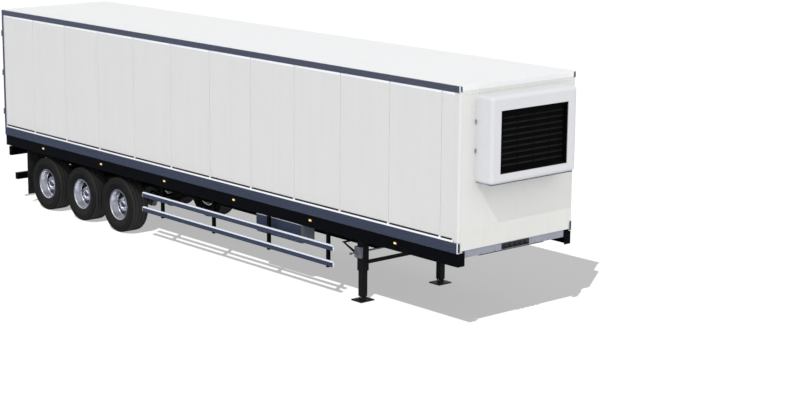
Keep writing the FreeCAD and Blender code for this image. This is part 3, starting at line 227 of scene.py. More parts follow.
def feed(tree, node, links):
    """Feeds a node's sockets, each from another node's output or with a number or colour of its own."""
    for socket, value in links.items():
        if isinstance(value, bpy.types.NodeSocket):
            tree.links.new(value, node.inputs[socket])
        else:
            node.inputs[socket].default_value = value


def shade(colour, factor):
    return tuple(min(1.0, c * factor) for c in colour[:3]) + (1.0,)


class Look:
    """Material in the making: its node tree, its Object coordinates and its Principled shader."""

    def __init__(self, name):
        self.material = bpy.data.materials.new(name)
        self.material.use_nodes = True
        self.tree = self.material.node_tree
        self.tree.nodes.clear()
        self.coords = self.add("ShaderNodeTexCoord").outputs["Object"]
        self.surface = self.add("ShaderNodeBsdfPrincipled")
        self.add("ShaderNodeOutputMaterial", {"Surface": self.surface.outputs["BSDF"]})

    def add(self, kind, links=None, **settings):
        return add(self.tree, kind, links, **settings)

    def noise(self, size, detail=2.0, rough=0.5):
        """Noise whose patches are about that size in metres."""
        return self.add("ShaderNodeTexNoise", {"Vector": self.coords, "Scale": 1.0 / size, "Detail": detail,
                                               "Roughness": rough}).outputs["Fac"]

    def streaks(self, stretch, scale, detail):
        """Noise squeezed by other amounts along each axis."""
        run = self.add("ShaderNodeMapping", {"Vector": self.coords, "Scale": stretch}).outputs["Vector"]
        links = {"Vector": run, "Scale": scale, "Detail": detail}
        return self.add("ShaderNodeTexNoise", links).outputs["Fac"]

    def cells(self, scale, output):
        return self.add("ShaderNodeTexVoronoi", {"Vector": self.coords, "Scale": scale}).outputs[output]

    def height(self):
        return self.add("ShaderNodeSeparateXYZ", {"Vector": self.coords}).outputs["Z"]

    def spread(self, value, low=0.0, high=1.0, start=0.35, stop=0.65):
        """Maps a pattern from its usual range to a range of values."""
        return self.add("ShaderNodeMapRange", {"Value": value, "From Min": start, "From Max": stop,
                                               "To Min": low, "To Max": high}).outputs["Result"]

    def times(self, first, second):
        return self.add("ShaderNodeMath", {0: first, 1: second}, operation="MULTIPLY").outputs[0]

    def mixed(self, factor, first, second):
        """Two colours mixed; each is a colour or another node's output."""
        return self.add("ShaderNodeMix", {"Factor": factor, 6: first, 7: second}, data_type="RGBA").outputs[2]

    def bumped(self, height, strength, distance, normal=None):
        links = {"Height": height, "Strength": strength, "Distance": distance}
        if normal:
            links["Normal"] = normal
        bump = self.add("ShaderNodeBump", links).outputs["Normal"]
        self.tree.links.new(bump, self.surface.inputs["Normal"])
        return bump

    def done(self, base, rough, **others):
        """The material, its shader fed with a base colour, a roughness and any other values."""
        feed(self.tree, self.surface, {"Base Color": base, "Roughness": rough})
        feed(self.tree, self.surface, {name.replace("_", " "): value for name, value in others.items()})
        return self.material


def paint_coat(name, colour, rough, dust=0.0, metallic=0.0, gleam=0.5, mottle=0.05):
    """Sprayed two-pack paint: orange peel a few millimetres across, slow changes of tone, and road
    dust that thins out with height."""
    look = Look(name)
    base = look.mixed(look.spread(look.noise(0.45, 4.0)), shade(colour, 1 - mottle),
                      shade(colour, 1 + mottle))
    if dust:
        grime = look.times(look.spread(look.height(), 1.0, 0.0, 0.0, 1.2),
                           look.spread(look.noise(0.12, 6.0, 0.6), 0.25, 1.0))
        base = look.mixed(look.times(grime, dust), base, linear("6E665A"))
    look.bumped(look.noise(0.004, 1.0), 0.25, 0.0002)
    return look.done(base, look.spread(look.noise(0.09, 3.0), rough * 0.85, min(1.0, rough * 1.2)),
                     Metallic=metallic, Specular_IOR_Level=gleam)


def anodised(name, colour, rough):
    """Satin anodised aluminium: a metal that mirrors the ground softly, with fine lines along the
    extrusion and a slightly uneven sheen."""
    look = Look(name)
    lines = look.streaks((0.5, 30.0, 30.0), 1.0, 3.0)
    base = look.mixed(look.spread(lines), shade(colour, 0.985), shade(colour, 1.015))
    base = look.mixed(look.spread(look.noise(0.6, 2.0), 0.0, 0.08), base, shade(colour, 0.8))
    return look.done(base, look.spread(lines, rough * 0.96, rough * 1.04), Metallic=1.0)


def panel_gelcoat(name, colour):
    """Gel-coated glass-fibre sandwich panel: almost flat, with slow waves in the sheet, a faint
    streaking down from the roof and a little road film along the bottom."""
    look = Look(name)
    streaks = look.streaks((6.0, 6.0, 0.35), 1.6, 5.0)
    base = look.mixed(look.spread(streaks), shade(colour, 0.985), shade(colour, 1.005))
    film = look.times(look.spread(look.height(), 0.1, 0.0, 1.52, 1.85), look.noise(0.2, 6.0))
    waves = look.bumped(look.noise(0.6, 1.0), 0.05, 0.004)
    look.bumped(look.noise(0.006, 1.0), 0.15, 0.0002, waves)
    return look.done(look.mixed(film, base, linear("A9A294")), look.spread(look.noise(0.3, 3.0), 0.28, 0.42),
                     Coat_Weight=0.15)


def zinc_plate(name, colour):
    """Zinc-plated or galvanised steel: pale spangles about a centimetre across, drawn coarse enough
    to show, and duller where it has weathered."""
    look = Look(name)
    tone = look.add("ShaderNodeSeparateColor", {"Color": look.cells(90.0, "Color")}).outputs["Red"]
    base = look.mixed(tone, shade(colour, 0.86), shade(colour, 1.08))
    base = look.mixed(look.spread(look.noise(0.07, 5.0), 0.0, 0.5), base, linear("6F6B63"))
    look.bumped(look.noise(0.003, 2.0), 0.2, 0.0002)
    return look.done(base, look.spread(tone, 0.34, 0.54, 0.0, 1.0), Metallic=0.9)


def polished_rim(name, colour, rough):
    """Polished alloy rim: satin bright, with a little brake dust settled in the dish that dulls it."""
    look = Look(name)
    dust = look.noise(0.16, 2.0)
    base = look.mixed(look.spread(dust, 0.0, 0.1, 0.45, 0.75), colour, shade(colour, 0.5))
    return look.done(base, look.spread(dust, rough, rough + 0.04), Metallic=1.0)


def cast_metal(name, colour, rough):
    """Rough casting: sandy grain a few millimetres across and darker hollows."""
    look = Look(name)
    grain = look.noise(0.004, 3.0)
    look.bumped(grain, 0.2, 0.0005)
    return look.done(look.mixed(look.spread(grain), shade(colour, 0.85), shade(colour, 1.1)),
                     look.spread(look.noise(0.05, 3.0), rough, rough + 0.15))


def tyre_rubber(name, colour):
    """Carbon-black tyre compound: matt, with a fine grain, browner and paler where dust has
    scuffed the shoulder and the tread."""
    look = Look(name)
    scuffs = look.noise(0.04, 6.0, 0.65)
    base = look.mixed(look.spread(scuffs, 0.0, 0.35), colour, linear("201F1D"))
    base = look.mixed(look.spread(look.noise(0.3, 3.0), 0.0, 0.15), base, linear("282622"))
    look.bumped(look.noise(0.002, 3.0), 0.3, 0.0004)
    return look.done(base, look.spread(scuffs, 0.55, 0.75), Specular_IOR_Level=0.3)


def sheet_rubber(name):
    """Moulded black rubber of the flaps, buffers, seals and bellows: matt with a dusty bloom."""
    look = Look(name)
    bloom = look.noise(0.06, 6.0, 0.6)
    look.bumped(look.noise(0.0025, 3.0), 0.35, 0.0004)
    return look.done(look.mixed(look.spread(bloom), linear("141414"), linear("2B2A28")),
                     look.spread(bloom, 0.55, 0.8))


def lamp_lens(name, colour, glow):
    """Moulded acrylic lens over a reflector: deep colour, paler at the prisms a few millimetres
    apart, and a glossy face."""
    look = Look(name)
    prisms = look.cells(160.0, "Distance")
    base = look.mixed(look.spread(prisms, 0.0, 1.0, 0.1, 0.5), shade(colour, 1.25), shade(colour, 0.75))
    look.bumped(prisms, 0.3, 0.0008)
    return look.done(base, 0.12, Emission_Color=base, Emission_Strength=glow, IOR=1.49, Coat_Weight=0.6)


def moulded_plastic(name, colour, rough, gleam=0.5):
    """Moulded ABS or polypropylene: fine grain a millimetre across and slightly uneven gloss."""
    look = Look(name)
    tone = look.noise(0.4, 3.0)
    look.bumped(look.noise(0.0015, 2.0), 0.03, 0.0001)
    base = look.mixed(look.spread(tone, 0.0, 1.0, 0.1, 0.9), shade(colour, 0.98), shade(colour, 1.02))
    return look.done(base, look.spread(tone, rough, rough + 0.04, 0.1, 0.9), Specular_IOR_Level=gleam)


def mill_aluminium(name):
    """Extruded aluminium load floor: lines along the run from the die and dull scuffs from pallets."""
    look = Look(name)
    lines = look.streaks((0.6, 60.0, 60.0), 4.0, 4.0)
    look.bumped(lines, 0.3, 0.0004)
    return look.done(look.mixed(look.spread(lines), linear("9A9C9E"), linear("B0B2B4")),
                     look.spread(look.noise(0.15, 5.0), 0.44, 0.5), Metallic=0.9)


def make_finishes(colours):
    """One material for each slot of the record, and the variants of some for smaller pieces."""
    tank = {"rough": 0.35, "gleam": 0.3}
    return {
        "white_panel": panel_gelcoat("panel_gelcoat", tuple(colours.panels)),
        # lighter copy of the panel gelcoat for forward faces: painted light
        "front_gelcoat": panel_gelcoat("front_gelcoat", tuple(colours.front)),
        "white_roof": panel_gelcoat("roof_skin", tuple(colours.roof)),
        "floor_grey": mill_aluminium("floor_aluminium"),
        "blue_grey_rail": anodised("rail_anodised", tuple(colours.rails), 0.26),
        "guard_aluminium": anodised("guard_anodised", tuple(colours.guards), 0.24),
        "light_grey_sill": paint_coat("sill_paint", tuple(colours.sill), 0.4, gleam=0.4),
        "black_skirt": paint_coat("skirt_paint", tuple(colours.skirt), 0.4, gleam=0.12),
        "chassis_black": paint_coat("chassis_paint", tuple(colours.chassis), 0.5, 0.06, gleam=0.3,
                                    mottle=0.12),
        "tank_blue_grey": paint_coat("tank_paint", tuple(colours.tank), **tank),
        # lighter copy of the tank paint for its front end: painted light
        "tank_end": paint_coat("tank_end_paint", linear("666C7A"), **tank),
        # paler paint on the rounded front corner: painted sheen
        "tank_corner": paint_coat("rubbed_tank_corner", linear("6C7278"), **tank),
        "air_tank_paint": paint_coat("air_tank_paint", linear("6C7074"), 0.35, 0.15, 0.3),
        # pale paint on upward faces of the guard rails and fuel tank and on the tank's top strip: painted
        # highlight
        "bright_edge": paint_coat("bright_edge", linear("E4E8F4"), 0.35, mottle=0.01),
        "bare_steel": zinc_plate("zinc_plated_steel", linear("C2C5C9")),
        "white_unit": moulded_plastic("unit_moulding", tuple(colours.unit), 0.24),
        "grille_black": moulded_plastic("grille_polypropylene", linear("030304"), 0.6, 0.08),
        "louvre_plastic": moulded_plastic("louvre_plastic", linear("0B0C0D"), 0.5, 0.2),
        "coupling_parts": moulded_plastic("coupling_polyamide", linear("202124"), 0.4),
        # white trim: painted highlight on the wall lips, the strips under the upper rails and the rails' end
        # caps; also the white of the guard plugs
        "trim_white": moulded_plastic("white_trim", linear("F0F2F8"), 0.3),
        "amber_lens": lamp_lens("amber_acrylic", tuple(colours.amber), 0.3),
        "amber_core": lamp_lens("amber_prisms", linear("F8E2AE"), 0.9),
        "red_lens": lamp_lens("red_acrylic", tuple(colours.red), 0.05),
        "black_rubber": sheet_rubber("sheet_rubber"),
        "tyre_black": tyre_rubber("tyre_rubber", tuple(colours.tyre)),
        # lighter rubber on the tread: wear, and painted light for the tread's top in the trailer's shade
        "worn_tread": tyre_rubber("worn_tread", linear("363636")),
        "chrome_rim": polished_rim("polished_rim", linear("EEEFF4"), 0.32),
        # dark blue-grey metal for the disc's face and back: painted reflection of the dark ground
        "dusty_disc": polished_rim("dusty_disc", linear("3E4150"), 0.3),
        "chrome_hub": polished_rim("polished_hub", linear("E6E7EE"), 0.08),
        # near-white matt alloy for the inner barrels: pale paint, and painted reflection of a bright sky that
        # their shade hides
        "cast_alloy": cast_metal("cast_alloy", linear("F2F3F5"), 0.4),
        "cast_iron": cast_metal("cast_iron", linear("0E0D0D"), 0.6),
    }


# ---- making and publishing pieces ---------------------------------------------------------------

def placed(name, data):
    """New object in the scene."""
    thing = bpy.data.objects.new(name, data)
    bpy.context.scene.collection.objects.link(thing)
    return thing


def publish(name, mesh, body, slot, *nodes, smooth=32, finish=None):
    """Shows a finished mesh as a piece that rides on a body and stands for those CAD nodes. Its
    material is its slot's, or another finish of the same stuff."""
    if not mesh.has_custom_normals:
        mesh.shade_smooth()
        mesh.set_sharp_from_angle(angle=math.radians(smooth))
    mesh.materials.clear()
    mesh.materials.append(FINISHES[finish or slot])
    piece = placed(name, mesh)
    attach(piece, body)
    if nodes:
        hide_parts(*nodes)
    return piece


def show(name, bm, slot, *nodes, body="chassis", finish=None):
    """Publishes the closed shapes of bm as one piece."""
    return publish(name, finished(bm, name), body, slot, *nodes, finish=finish)


def show_rows(name, rows, slot="bare_steel", body="chassis"):
    """Publishes rows of fasteners as one piece."""
    publish(name, joined(name, rows), body, slot)


def refined(**widths):
    """Publishes CAD nodes, each with its edges rounded to a width, and returns the pieces by node."""
    return {node: publish(node + "_finished", softened(node, width), BODY_OF[node], SLOT_OF[node], node)
            for node, width in widths.items()}


def refaced(piece, finish, chosen):
    """Gives the faces of a piece that pass a test another finish."""
    piece.data.materials.append(FINISHES[finish])
    for face in piece.data.polygons:
        if chosen(face):
            face.material_index = len(piece.data.materials) - 1


def finished(bm, name):
    """Closed mesh with its faces turned outwards."""
    bmesh.ops.recalc_face_normals(bm, faces=bm.faces)
    mesh = bpy.data.meshes.new(name)
    bm.to_mesh(mesh)
    bm.free()
    return mesh


def joined(name, meshes):
    bm = bmesh.new()
    for mesh in meshes:
        bm.from_mesh(mesh)
    whole = bpy.data.meshes.new(name)
    bm.to_mesh(whole)
    bm.free()
    return whole


def settled(holder):
    """Plain mesh of an object as its modifiers leave it. The object is removed."""
    bpy.context.view_layer.update()
    plain = bpy.data.meshes.new_from_object(holder.evaluated_get(bpy.context.evaluated_depsgraph_get()))
    bpy.data.objects.remove(holder)
    return plain


def modified(mesh, kind, **settings):
    """Plain mesh of a mesh with a modifier."""
    holder = placed("holder", mesh)
    modifier = holder.modifiers.new(kind.title(), kind)
    for key, value in settings.items():
        setattr(modifier, key, value)
    return settled(holder)


def evened(mesh, angle=50):
    """Mesh shaded smooth up to an angle, its large flat faces kept flat to the eye."""
    mesh.shade_smooth()
    mesh.set_sharp_from_angle(angle=math.radians(angle))
    return modified(mesh, "WEIGHTED_NORMAL", keep_sharp=True, weight=100)


def cut(mesh, bm):
    """Mesh less the closed shapes of bm."""
    cutter = placed("cutter", finished(bm, "cutter"))
    whole = modified(mesh, "BOOLEAN", object=cutter, operation="DIFFERENCE", solver="EXACT")
    bpy.data.objects.remove(cutter)
    return whole


def cad_mesh(node):
    bm = bmesh.new()
    bm.from_mesh(frame["nodes"][node].data)
    return bm


def softened(node, width):
    """Copy of a CAD node's mesh with its triangles merged into faces and its sharp edges rounded."""
    bm = cad_mesh(node)
    bmesh.ops.remove_doubles(bm, verts=bm.verts, dist=SAME_PLACE)
    bmesh.ops.dissolve_limit(bm, angle_limit=math.radians(0.5), verts=bm.verts, edges=bm.edges)
    return evened(modified(finished(bm, node), "BEVEL", width=width, segments=2, limit_method="ANGLE",
                           angle_limit=SHARP, use_clamp_overlap=True, harden_normals=False))


def parts_of(node):
    """(low, high) corners of each separate solid of a CAD node."""
    bm = cad_mesh(node)
    bmesh.ops.remove_doubles(bm, verts=bm.verts, dist=SAME_PLACE)
    left, boxes = set(bm.verts), []
    while left:
        reached = [left.pop()]
        for vert in reached:
            near = {edge.other_vert(vert) for edge in vert.link_edges} & left
            left -= near
            reached.extend(near)
        corners = [[vert.co[axis] for vert in reached] for axis in range(3)]
        boxes.append((Vector([min(c) for c in corners]), Vector([max(c) for c in corners])))
    bm.free()
    return sorted(boxes, key=lambda box: (box[0].y > 0, round(box[0].x, 3), round(box[0].z, 3)))


def sided_parts(node):
    """Low and high corner of each solid of a CAD node, its side of the trailer, and how near and
    how far from the middle plane it reaches."""
    return [(low, high, math.copysign(1, low.y), *sorted((abs(low.y), abs(high.y))))
            for low, high in parts_of(node)]


def touch(node, start, direction):
    """Where a straight line from start first meets a CAD node."""
    bm = cad_mesh(node)
    place = BVHTree.FromBMesh(bm).ray_cast(Vector(start), Vector(direction))[0]
    bm.free()
    if place is None:
        raise ValueError("no face of %s from %s" % (node, tuple(start)))
    return place


# ---- shapes -------------------------------------------------------------------------------------

def slab(bm, low, high, bevel=0.0, steps=2):
    """Adds a box between two corners, with its edges rounded."""
    size = [max(abs(b - a), 1e-5) for a, b in zip(low, high)]
    centre = [(a + b) / 2 for a, b in zip(low, high)]
    place = Matrix.Translation(centre) @ Matrix.Diagonal((*size, 1))
    made = bmesh.ops.create_cube(bm, size=1.0, matrix=place)
    if bevel:
        edges = {edge for vert in made["verts"] for edge in vert.link_edges}
        bmesh.ops.bevel(bm, geom=list(edges), offset=bevel, segments=steps, affect="EDGES", profile=0.5)


def turned(bm, profile, centre, axis, steps=64):
    """Adds a solid of revolution: (along, radius) points in order round a closed outline, or from
    the axis to the axis."""
    axis = axis.normalized()
    across = Z if abs(axis.z) < 0.9 else X
    out = (across - axis * across.dot(axis)).normalized()
    rings = []
    for along, radius in profile:
        at = centre + axis * along
        if radius < 1e-6:
            rings.append([bm.verts.new(at)])
            continue
        rings.append([bm.verts.new(at + Matrix.Rotation(2 * math.pi * i / steps, 3, axis) @ (out * radius))
                      for i in range(steps)])
    closed = len(rings[0]) > 1
    for a, b in zip(rings, rings[1:] + (rings[:1] if closed else [])):
        for i in range(steps):
            j = (i + 1) % steps
            corners = [a[i % len(a)], a[j % len(a)], b[j % len(b)], b[i % len(b)]]
            face = list(dict.fromkeys(corners))
            if len(face) > 2:
                bm.faces.new(face)


def rounded(points, radius, steps=3):
    """Outline whose corners are rounded, each by no more than its shorter side allows."""
    made = []
    last = len(points)
    for i, (u, v) in enumerate(points):
        p, a, b = Vector((u, v)), Vector(points[i - 1]), Vector(points[(i + 1) % last])
        if v < 1e-6 or (a - p).length < 1e-6 or (b - p).length < 1e-6:
            made.append((u, v))
            continue
        to_a, to_b = (a - p).normalized(), (b - p).normalized()
        cut = min(radius, (a - p).length * 0.45, (b - p).length * 0.45)
        start, stop = p + to_a * cut, p + to_b * cut
        for k in range(steps + 1):
            t = k / steps
            q = start.lerp(p, t).lerp(p.lerp(stop, t), t)
            made.append((q.x, q.y))
    return made


def rod(bm, start, end, radius, steps=20, bevel=0.15):
    """Round bar between two places with its ends eased."""
    run = end - start
    ease = min(radius * bevel, run.length * 0.2)
    turned(bm, [(0, 0), (0, radius - ease), (ease, radius), (run.length - ease, radius),
                (run.length, radius - ease), (run.length, 0)], start, run, steps)


def on_side(bm, side, along, out, up, bevel=0.0):
    """Adds a box on one side of the trailer, from its ranges along, out from the middle plane and up."""
    slab(bm, (along[0], side * out[0], up[0]), (along[1], side * out[1], up[1]), bevel)


def boss(bm, place, axis, radius, tall, steps, ease=(0.002, 0.004)):
    """Adds a round or cornered boss whose outer edge is eased along and across."""
    turned(bm, [(0, 0), (0, radius), (tall - ease[0], radius), (tall, radius - ease[1]), (tall, 0)],
           Vector(place), axis, steps)


def lathed(profile, centre, axis, steps):
    """Finished mesh of one solid of revolution."""
    bm = bmesh.new()
    turned(bm, profile, centre, axis, steps)
    return finished(bm, "turned")


# ---- repeats by geometry nodes ------------------------------------------------------------------

def repeat_tree(name, ring):
    """Tree that sets copies of the incoming shape in a row, or round a ring about the Y axis."""
    tree = bpy.data.node_groups.new(name, "GeometryNodeTree")
    face = tree.interface
    face.new_socket("Geometry", in_out="INPUT", socket_type="NodeSocketGeometry")
    for label, kind in (("Count", "Int"), ("Start", "Vector"), ("Step", "Vector"), ("Radius", "Float"),
                        ("Material", "Material")):
        face.new_socket(label, in_out="INPUT", socket_type="NodeSocket" + kind)
    face.new_socket("Geometry", in_out="OUTPUT", socket_type="NodeSocketGeometry")
    given = add(tree, "NodeGroupInput").outputs
    if ring:
        circle = add(tree, "GeometryNodeMeshCircle", {"Vertices": given["Count"], "Radius": given["Radius"]})
        points = add(tree, "GeometryNodeTransform", {
            "Geometry": circle.outputs["Mesh"], "Rotation": (math.pi / 2, 0, 0),
            "Translation": given["Start"]}).outputs["Geometry"]
    else:
        points = add(tree, "GeometryNodeMeshLine", {
            "Count": given["Count"], "Start Location": given["Start"],
            "Offset": given["Step"]}).outputs["Mesh"]
    copies = add(tree, "GeometryNodeInstanceOnPoints", {"Points": points, "Instance": given["Geometry"]})
    real = add(tree, "GeometryNodeRealizeInstances", {"Geometry": copies.outputs["Instances"]})
    finish = add(tree, "GeometryNodeSetMaterial", {"Geometry": real.outputs["Geometry"],
                                                   "Material": given["Material"]})
    add(tree, "NodeGroupOutput", {"Geometry": finish.outputs["Geometry"]})
    return tree


def repeated(tree, shape, **inputs):
    """Plain mesh of a shape repeated by a tree. Its piece's finish is set when it is published."""
    holder = placed("repeat", shape)
    modifier = holder.modifiers.new("Repeat", "NODES")
    modifier.node_group = TREES[tree]
    sockets = TREES[tree].interface.items_tree
    names = {item.name: item.identifier for item in sockets if item.in_out == "INPUT"}
    for name, value in inputs.items():
        modifier[names[name.title()]] = value
    modifier[names["Material"]] = FINISHES["bare_steel"]
    return settled(holder)


def head(kind, radius, direction=(0, 0, 1)):
    """Small fastener at the origin: a domed rivet, a hexagon bolt or a wheel nut with its stud."""
    rise = radius * {"rivet": 0.5, "bolt": 0.7, "nut": 1.6}[kind]
    profile, steps = {
        "rivet": ([(-0.0006, 0), (-0.0006, radius), (rise * 0.6, radius * 0.8), (rise, 0)], 8),
        "bolt": ([(-0.0006, 0), (-0.0006, radius * 1.35), (rise * 0.25, radius * 1.35),
                  (rise * 0.25, radius * 1.02), (rise * 0.3, radius), (rise * 0.9, radius),
                  (rise, radius * 0.85), (rise, 0)], 6),
        "nut": ([(-0.001, 0), (-0.001, radius * 1.4), (rise * 0.2, radius * 1.3), (rise * 0.2, radius),
                 (rise * 0.85, radius), (rise, radius * 0.8), (rise, radius * 0.55),
                 (rise * 1.35, radius * 0.55), (rise * 1.45, radius * 0.4), (rise * 1.45, 0)], 12),
    }[kind]
    bm = bmesh.new()
    turned(bm, profile, Vector(), Z, steps)
    bm.transform(Z.rotation_difference(Vector(direction)).to_matrix().to_4x4())
    return finished(bm, kind)


def row(kind, radius, direction, start, stop=None, pitch=1.0):
    """Row of fasteners from start to stop, spaced as near to the pitch as fits, or one at start."""
    start, stop = Vector(start), Vector(start if stop is None else stop)
    run = (stop - start).length
    count = 1 if run < 0.001 else max(2, round(run / pitch) + 1)
    return repeated("row", head(kind, radius, direction), count=count, start=start,
                    step=(stop - start) / max(1, count - 1))


# ---- the box ------------------------------------------------------------------------------------

def make_box(sizes):
    """Walls, roof, rails and posts, with the rivets, a brighter white lip over each lower rail as a painted
    highlight, black strips in the slit above each lip as painted shade, white strips under the upper rails as
    painted highlights and pale end caps on the rails as painted highlights."""
    pieces = refined(side_wall_right=0.0015, side_wall_left=0.0015, roof=0.004, front_wall=0.002,
                     front_corner_posts=0.002, upper_rails=0.0025, lower_rails=0.0025, front_sill=0.004,
                     rear_frame=0.003, hinge_brackets=0.0015)
    for node in ("front_wall", "front_corner_posts"):
        # forward faces of the front wall and posts in a lighter gelcoat: painted light
        refaced(pieces[node], "front_gelcoat", lambda face: face.normal.x > 0.5)
    front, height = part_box("front_wall")[1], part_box("cooling_unit")[1].z + 0.022
    half = front.y - 0.06
    publish("front_rivets", row("rivet", 0.007, X, (front.x, -half, height), (front.x, half, height), 0.07),
            "chassis", "bare_steel")
    wall_low, wall_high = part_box("side_wall_right")
    upper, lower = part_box("upper_rails"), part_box("lower_rails")
    out, foot = upper[1].y, lower[1].z
    panel = out - WALL_INSET
    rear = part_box("roof")[0].x
    count = int((wall_high.x - rear) / PANEL_PITCH)
    seams = [wall_low.x] + [rear + PANEL_PITCH * (i + 1) for i in range(count)] + [wall_high.x]
    lip_highlights, slit_shades, caps, rivets = bmesh.new(), bmesh.new(), bmesh.new(), []
    for _, side in SIDES:
        # brighter white lip over the lower rail and white strips under the upper rail: painted highlights
        on_side(lip_highlights, side, (wall_low.x, wall_high.x), (panel - 0.002, out - 0.0015),
                (foot + 0.001, foot + LIP_HEIGHT), 0.0015)
        for start, stop in zip(seams, seams[1:]):
            on_side(lip_highlights, side, (start + SLIT_END / 2, stop - SLIT_END / 2), (panel - 0.002, panel + 0.003),
                    (upper[0].z - TOP_LIP, upper[0].z - 0.001), 0.0015)
            slit = (start + SLIT_END, stop - SLIT_END)
            # black strips in the slit and on the wall just above it: painted shade for the dark slit
            on_side(slit_shades, side, slit, (panel - 0.011, out - 0.0008),
                    (foot + LIP_HEIGHT * 0.7, foot + LIP_HEIGHT + 0.0005))
            on_side(slit_shades, side, slit, (panel - 0.011, panel - 0.001),
                    (foot + LIP_HEIGHT, foot + LIP_HEIGHT + 0.008))
        for low, high in (upper, lower):
            # pale caps round each rail's front end: painted highlight on the end's edges
            end, back = (high.x - CAP_LENGTH, high.x), out - RAIL_WIDTH
            for reach in ((out - 0.014, out), (back, back + CAP_LENGTH)):
                on_side(caps, side, end, reach, (low.z + 0.001, high.z - 0.001), 0.002)
            on_side(caps, side, end, (back, out), (low.z, low.z + CAP_LENGTH), 0.002)
            y, z = side * (out - 0.0028), low.z + RIVET_END
            rivets.append(row("rivet", sizes.rivet_radius, (0, side, 0), (low.x + 0.06, y, z),
                              (high.x - 0.06, y, z), sizes.rivet_pitch))
    show("wall_lips", lip_highlights, "white_panel", finish="trim_white")
    show("slit_sealant", slit_shades, "black_rubber")
    show("rail_end_caps", caps, "blue_grey_rail", finish="trim_white")
    sill_low, sill_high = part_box("front_sill")
    edge, z = sill_high.y - RIVET_END, sill_low.z + 0.02
    rivets.append(row("bolt", 0.007, X, (sill_high.x, -edge, z), (sill_high.x, edge, z), 0.3))
    show_rows("rail_rivets", rivets, "blue_grey_rail")


def make_load_floor(sizes):
    """Ribbed aluminium floor and the scuff plates along the walls' feet."""
    refined(floor=0.003)
    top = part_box("floor")[1]
    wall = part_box("side_wall_left")[0].y
    rear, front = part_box("rear_door_right")[1].x + 0.02, top.x - 0.005
    rib, plates = bmesh.new(), bmesh.new()
    slab(rib, (rear, -0.011, -0.001), (front, 0.011, sizes.groove_depth), 0.002)
    count = int(2 * (wall - 0.03) / sizes.groove_pitch) + 1
    first = -(count - 1) / 2 * sizes.groove_pitch
    ribs = repeated("row", finished(rib, "rib"), count=count, start=Vector((0, first, top.z)),
                    step=Vector((0, sizes.groove_pitch, 0)))
    publish("floor_ribs", ribs, "chassis", "floor_grey")
    for _, side in SIDES:
        on_side(plates, side, (rear, front), (wall - 0.004, wall), (top.z, top.z + SCUFF_HEIGHT),
                0.001)
    show("scuff_plates", plates, "floor_grey")


# ---- rear doors ---------------------------------------------------------------------------------

def make_doors(sizes):
    """Each leaf with its gasket, its rivets, the bolts of its straps, and the plates, bolts and
    grips of its two lock bars."""
    for name, side in SIDES:
        body = "door_" + name
        leaf, bars, straps = "rear_door_" + name, "lock_bars_" + name, "hinge_straps_" + name
        refined(**{leaf: 0.003, bars: 0.0015, straps: 0.002})
        low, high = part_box(leaf)
        inner, outer = sorted((abs(low.y), abs(high.y)))
        face = low.x
        gasket, plates, bolts = bmesh.new(), bmesh.new(), []
        for start, stop in ((inner + 0.001, inner + 0.013), (outer - 0.013, outer - 0.001)):
            on_side(gasket, side, (face - 0.0012, face + 0.02), (start, stop),
                    (low.z + 0.001, high.z - 0.001), 0.001)
        for z in (low.z + 0.001, high.z - 0.013):
            on_side(gasket, side, (face - 0.0012, face + 0.002), (inner + 0.013, outer - 0.013),
                    (z, z + 0.012))
        show("gasket_" + name, gasket, "black_rubber", body=body)
        rivets = [row("rivet", sizes.rivet_radius, -X, (face, side * y, low.z + RIVET_END),
                      (face, side * y, high.z - RIVET_END), sizes.rivet_pitch)
                  for y in (inner + 0.03, outer - 0.03)]
        first, last = (side * (outer - inset) for inset in STRAP_BOLTS)
        for strap_low, strap_high in parts_of(straps):
            middle = (strap_low.z + strap_high.z) / 2
            root = touch(straps, (face - 1, first, middle), X).x
            for z in (middle - 0.03, middle + 0.03):
                bolts.append(row("bolt", 0.008, -X, (root, first, z), (root, last, z), 0.055))
        for bar_low, bar_high, _, near, far in sided_parts(bars):
            bar = far - LOCK_GUIDE_HALF
            step = (bar_high.z - bar_low.z - 2 * LOCK_GUIDE_END) / (LOCK_GUIDES - 1)
            for i in range(LOCK_GUIDES):
                z = bar_low.z + LOCK_GUIDE_END + i * step
                on_side(plates, side, (face - 0.003, face), (bar - 0.05, bar + 0.05),
                        (z - 0.035, z + 0.035), 0.001)
                for y in (side * (bar - 0.04), side * (bar + 0.04)):
                    bolts.append(row("bolt", 0.006, -X, (face - 0.003, y, z - 0.02),
                                     (face - 0.003, y, z + 0.02), 0.04))
            grip = low.z + GRIP_HEIGHT
            on_side(plates, side, (face - 0.004, face), (near + 0.02, near + 0.075),
                    (grip - 0.035, grip + 0.035), 0.001)
            for z in (grip - 0.028, grip + 0.018):
                on_side(plates, side, (face - 0.017, face), (near + 0.03, near + 0.05), (z, z + 0.01), 0.003)
        show("lock_plates_" + name, plates, "bare_steel", body=body)
        show_rows("door_bolts_" + name, bolts, body=body)
        show_rows("door_rivets_" + name, rivets, "white_panel", body)
    bolts = []
    for low, high, side, inner, outer in sided_parts("hinge_brackets"):
        y = side * (outer - 0.0052)
        for z in (low.z + 0.018, high.z - 0.018):
            bolts.append(row("bolt", 0.007, (0, side, 0), (high.x - 0.012, y, z), (low.x + 0.03, y, z), 0.02))
    show_rows("hinge_bolts", bolts)


# ---- wheels -------------------------------------------------------------------------------------

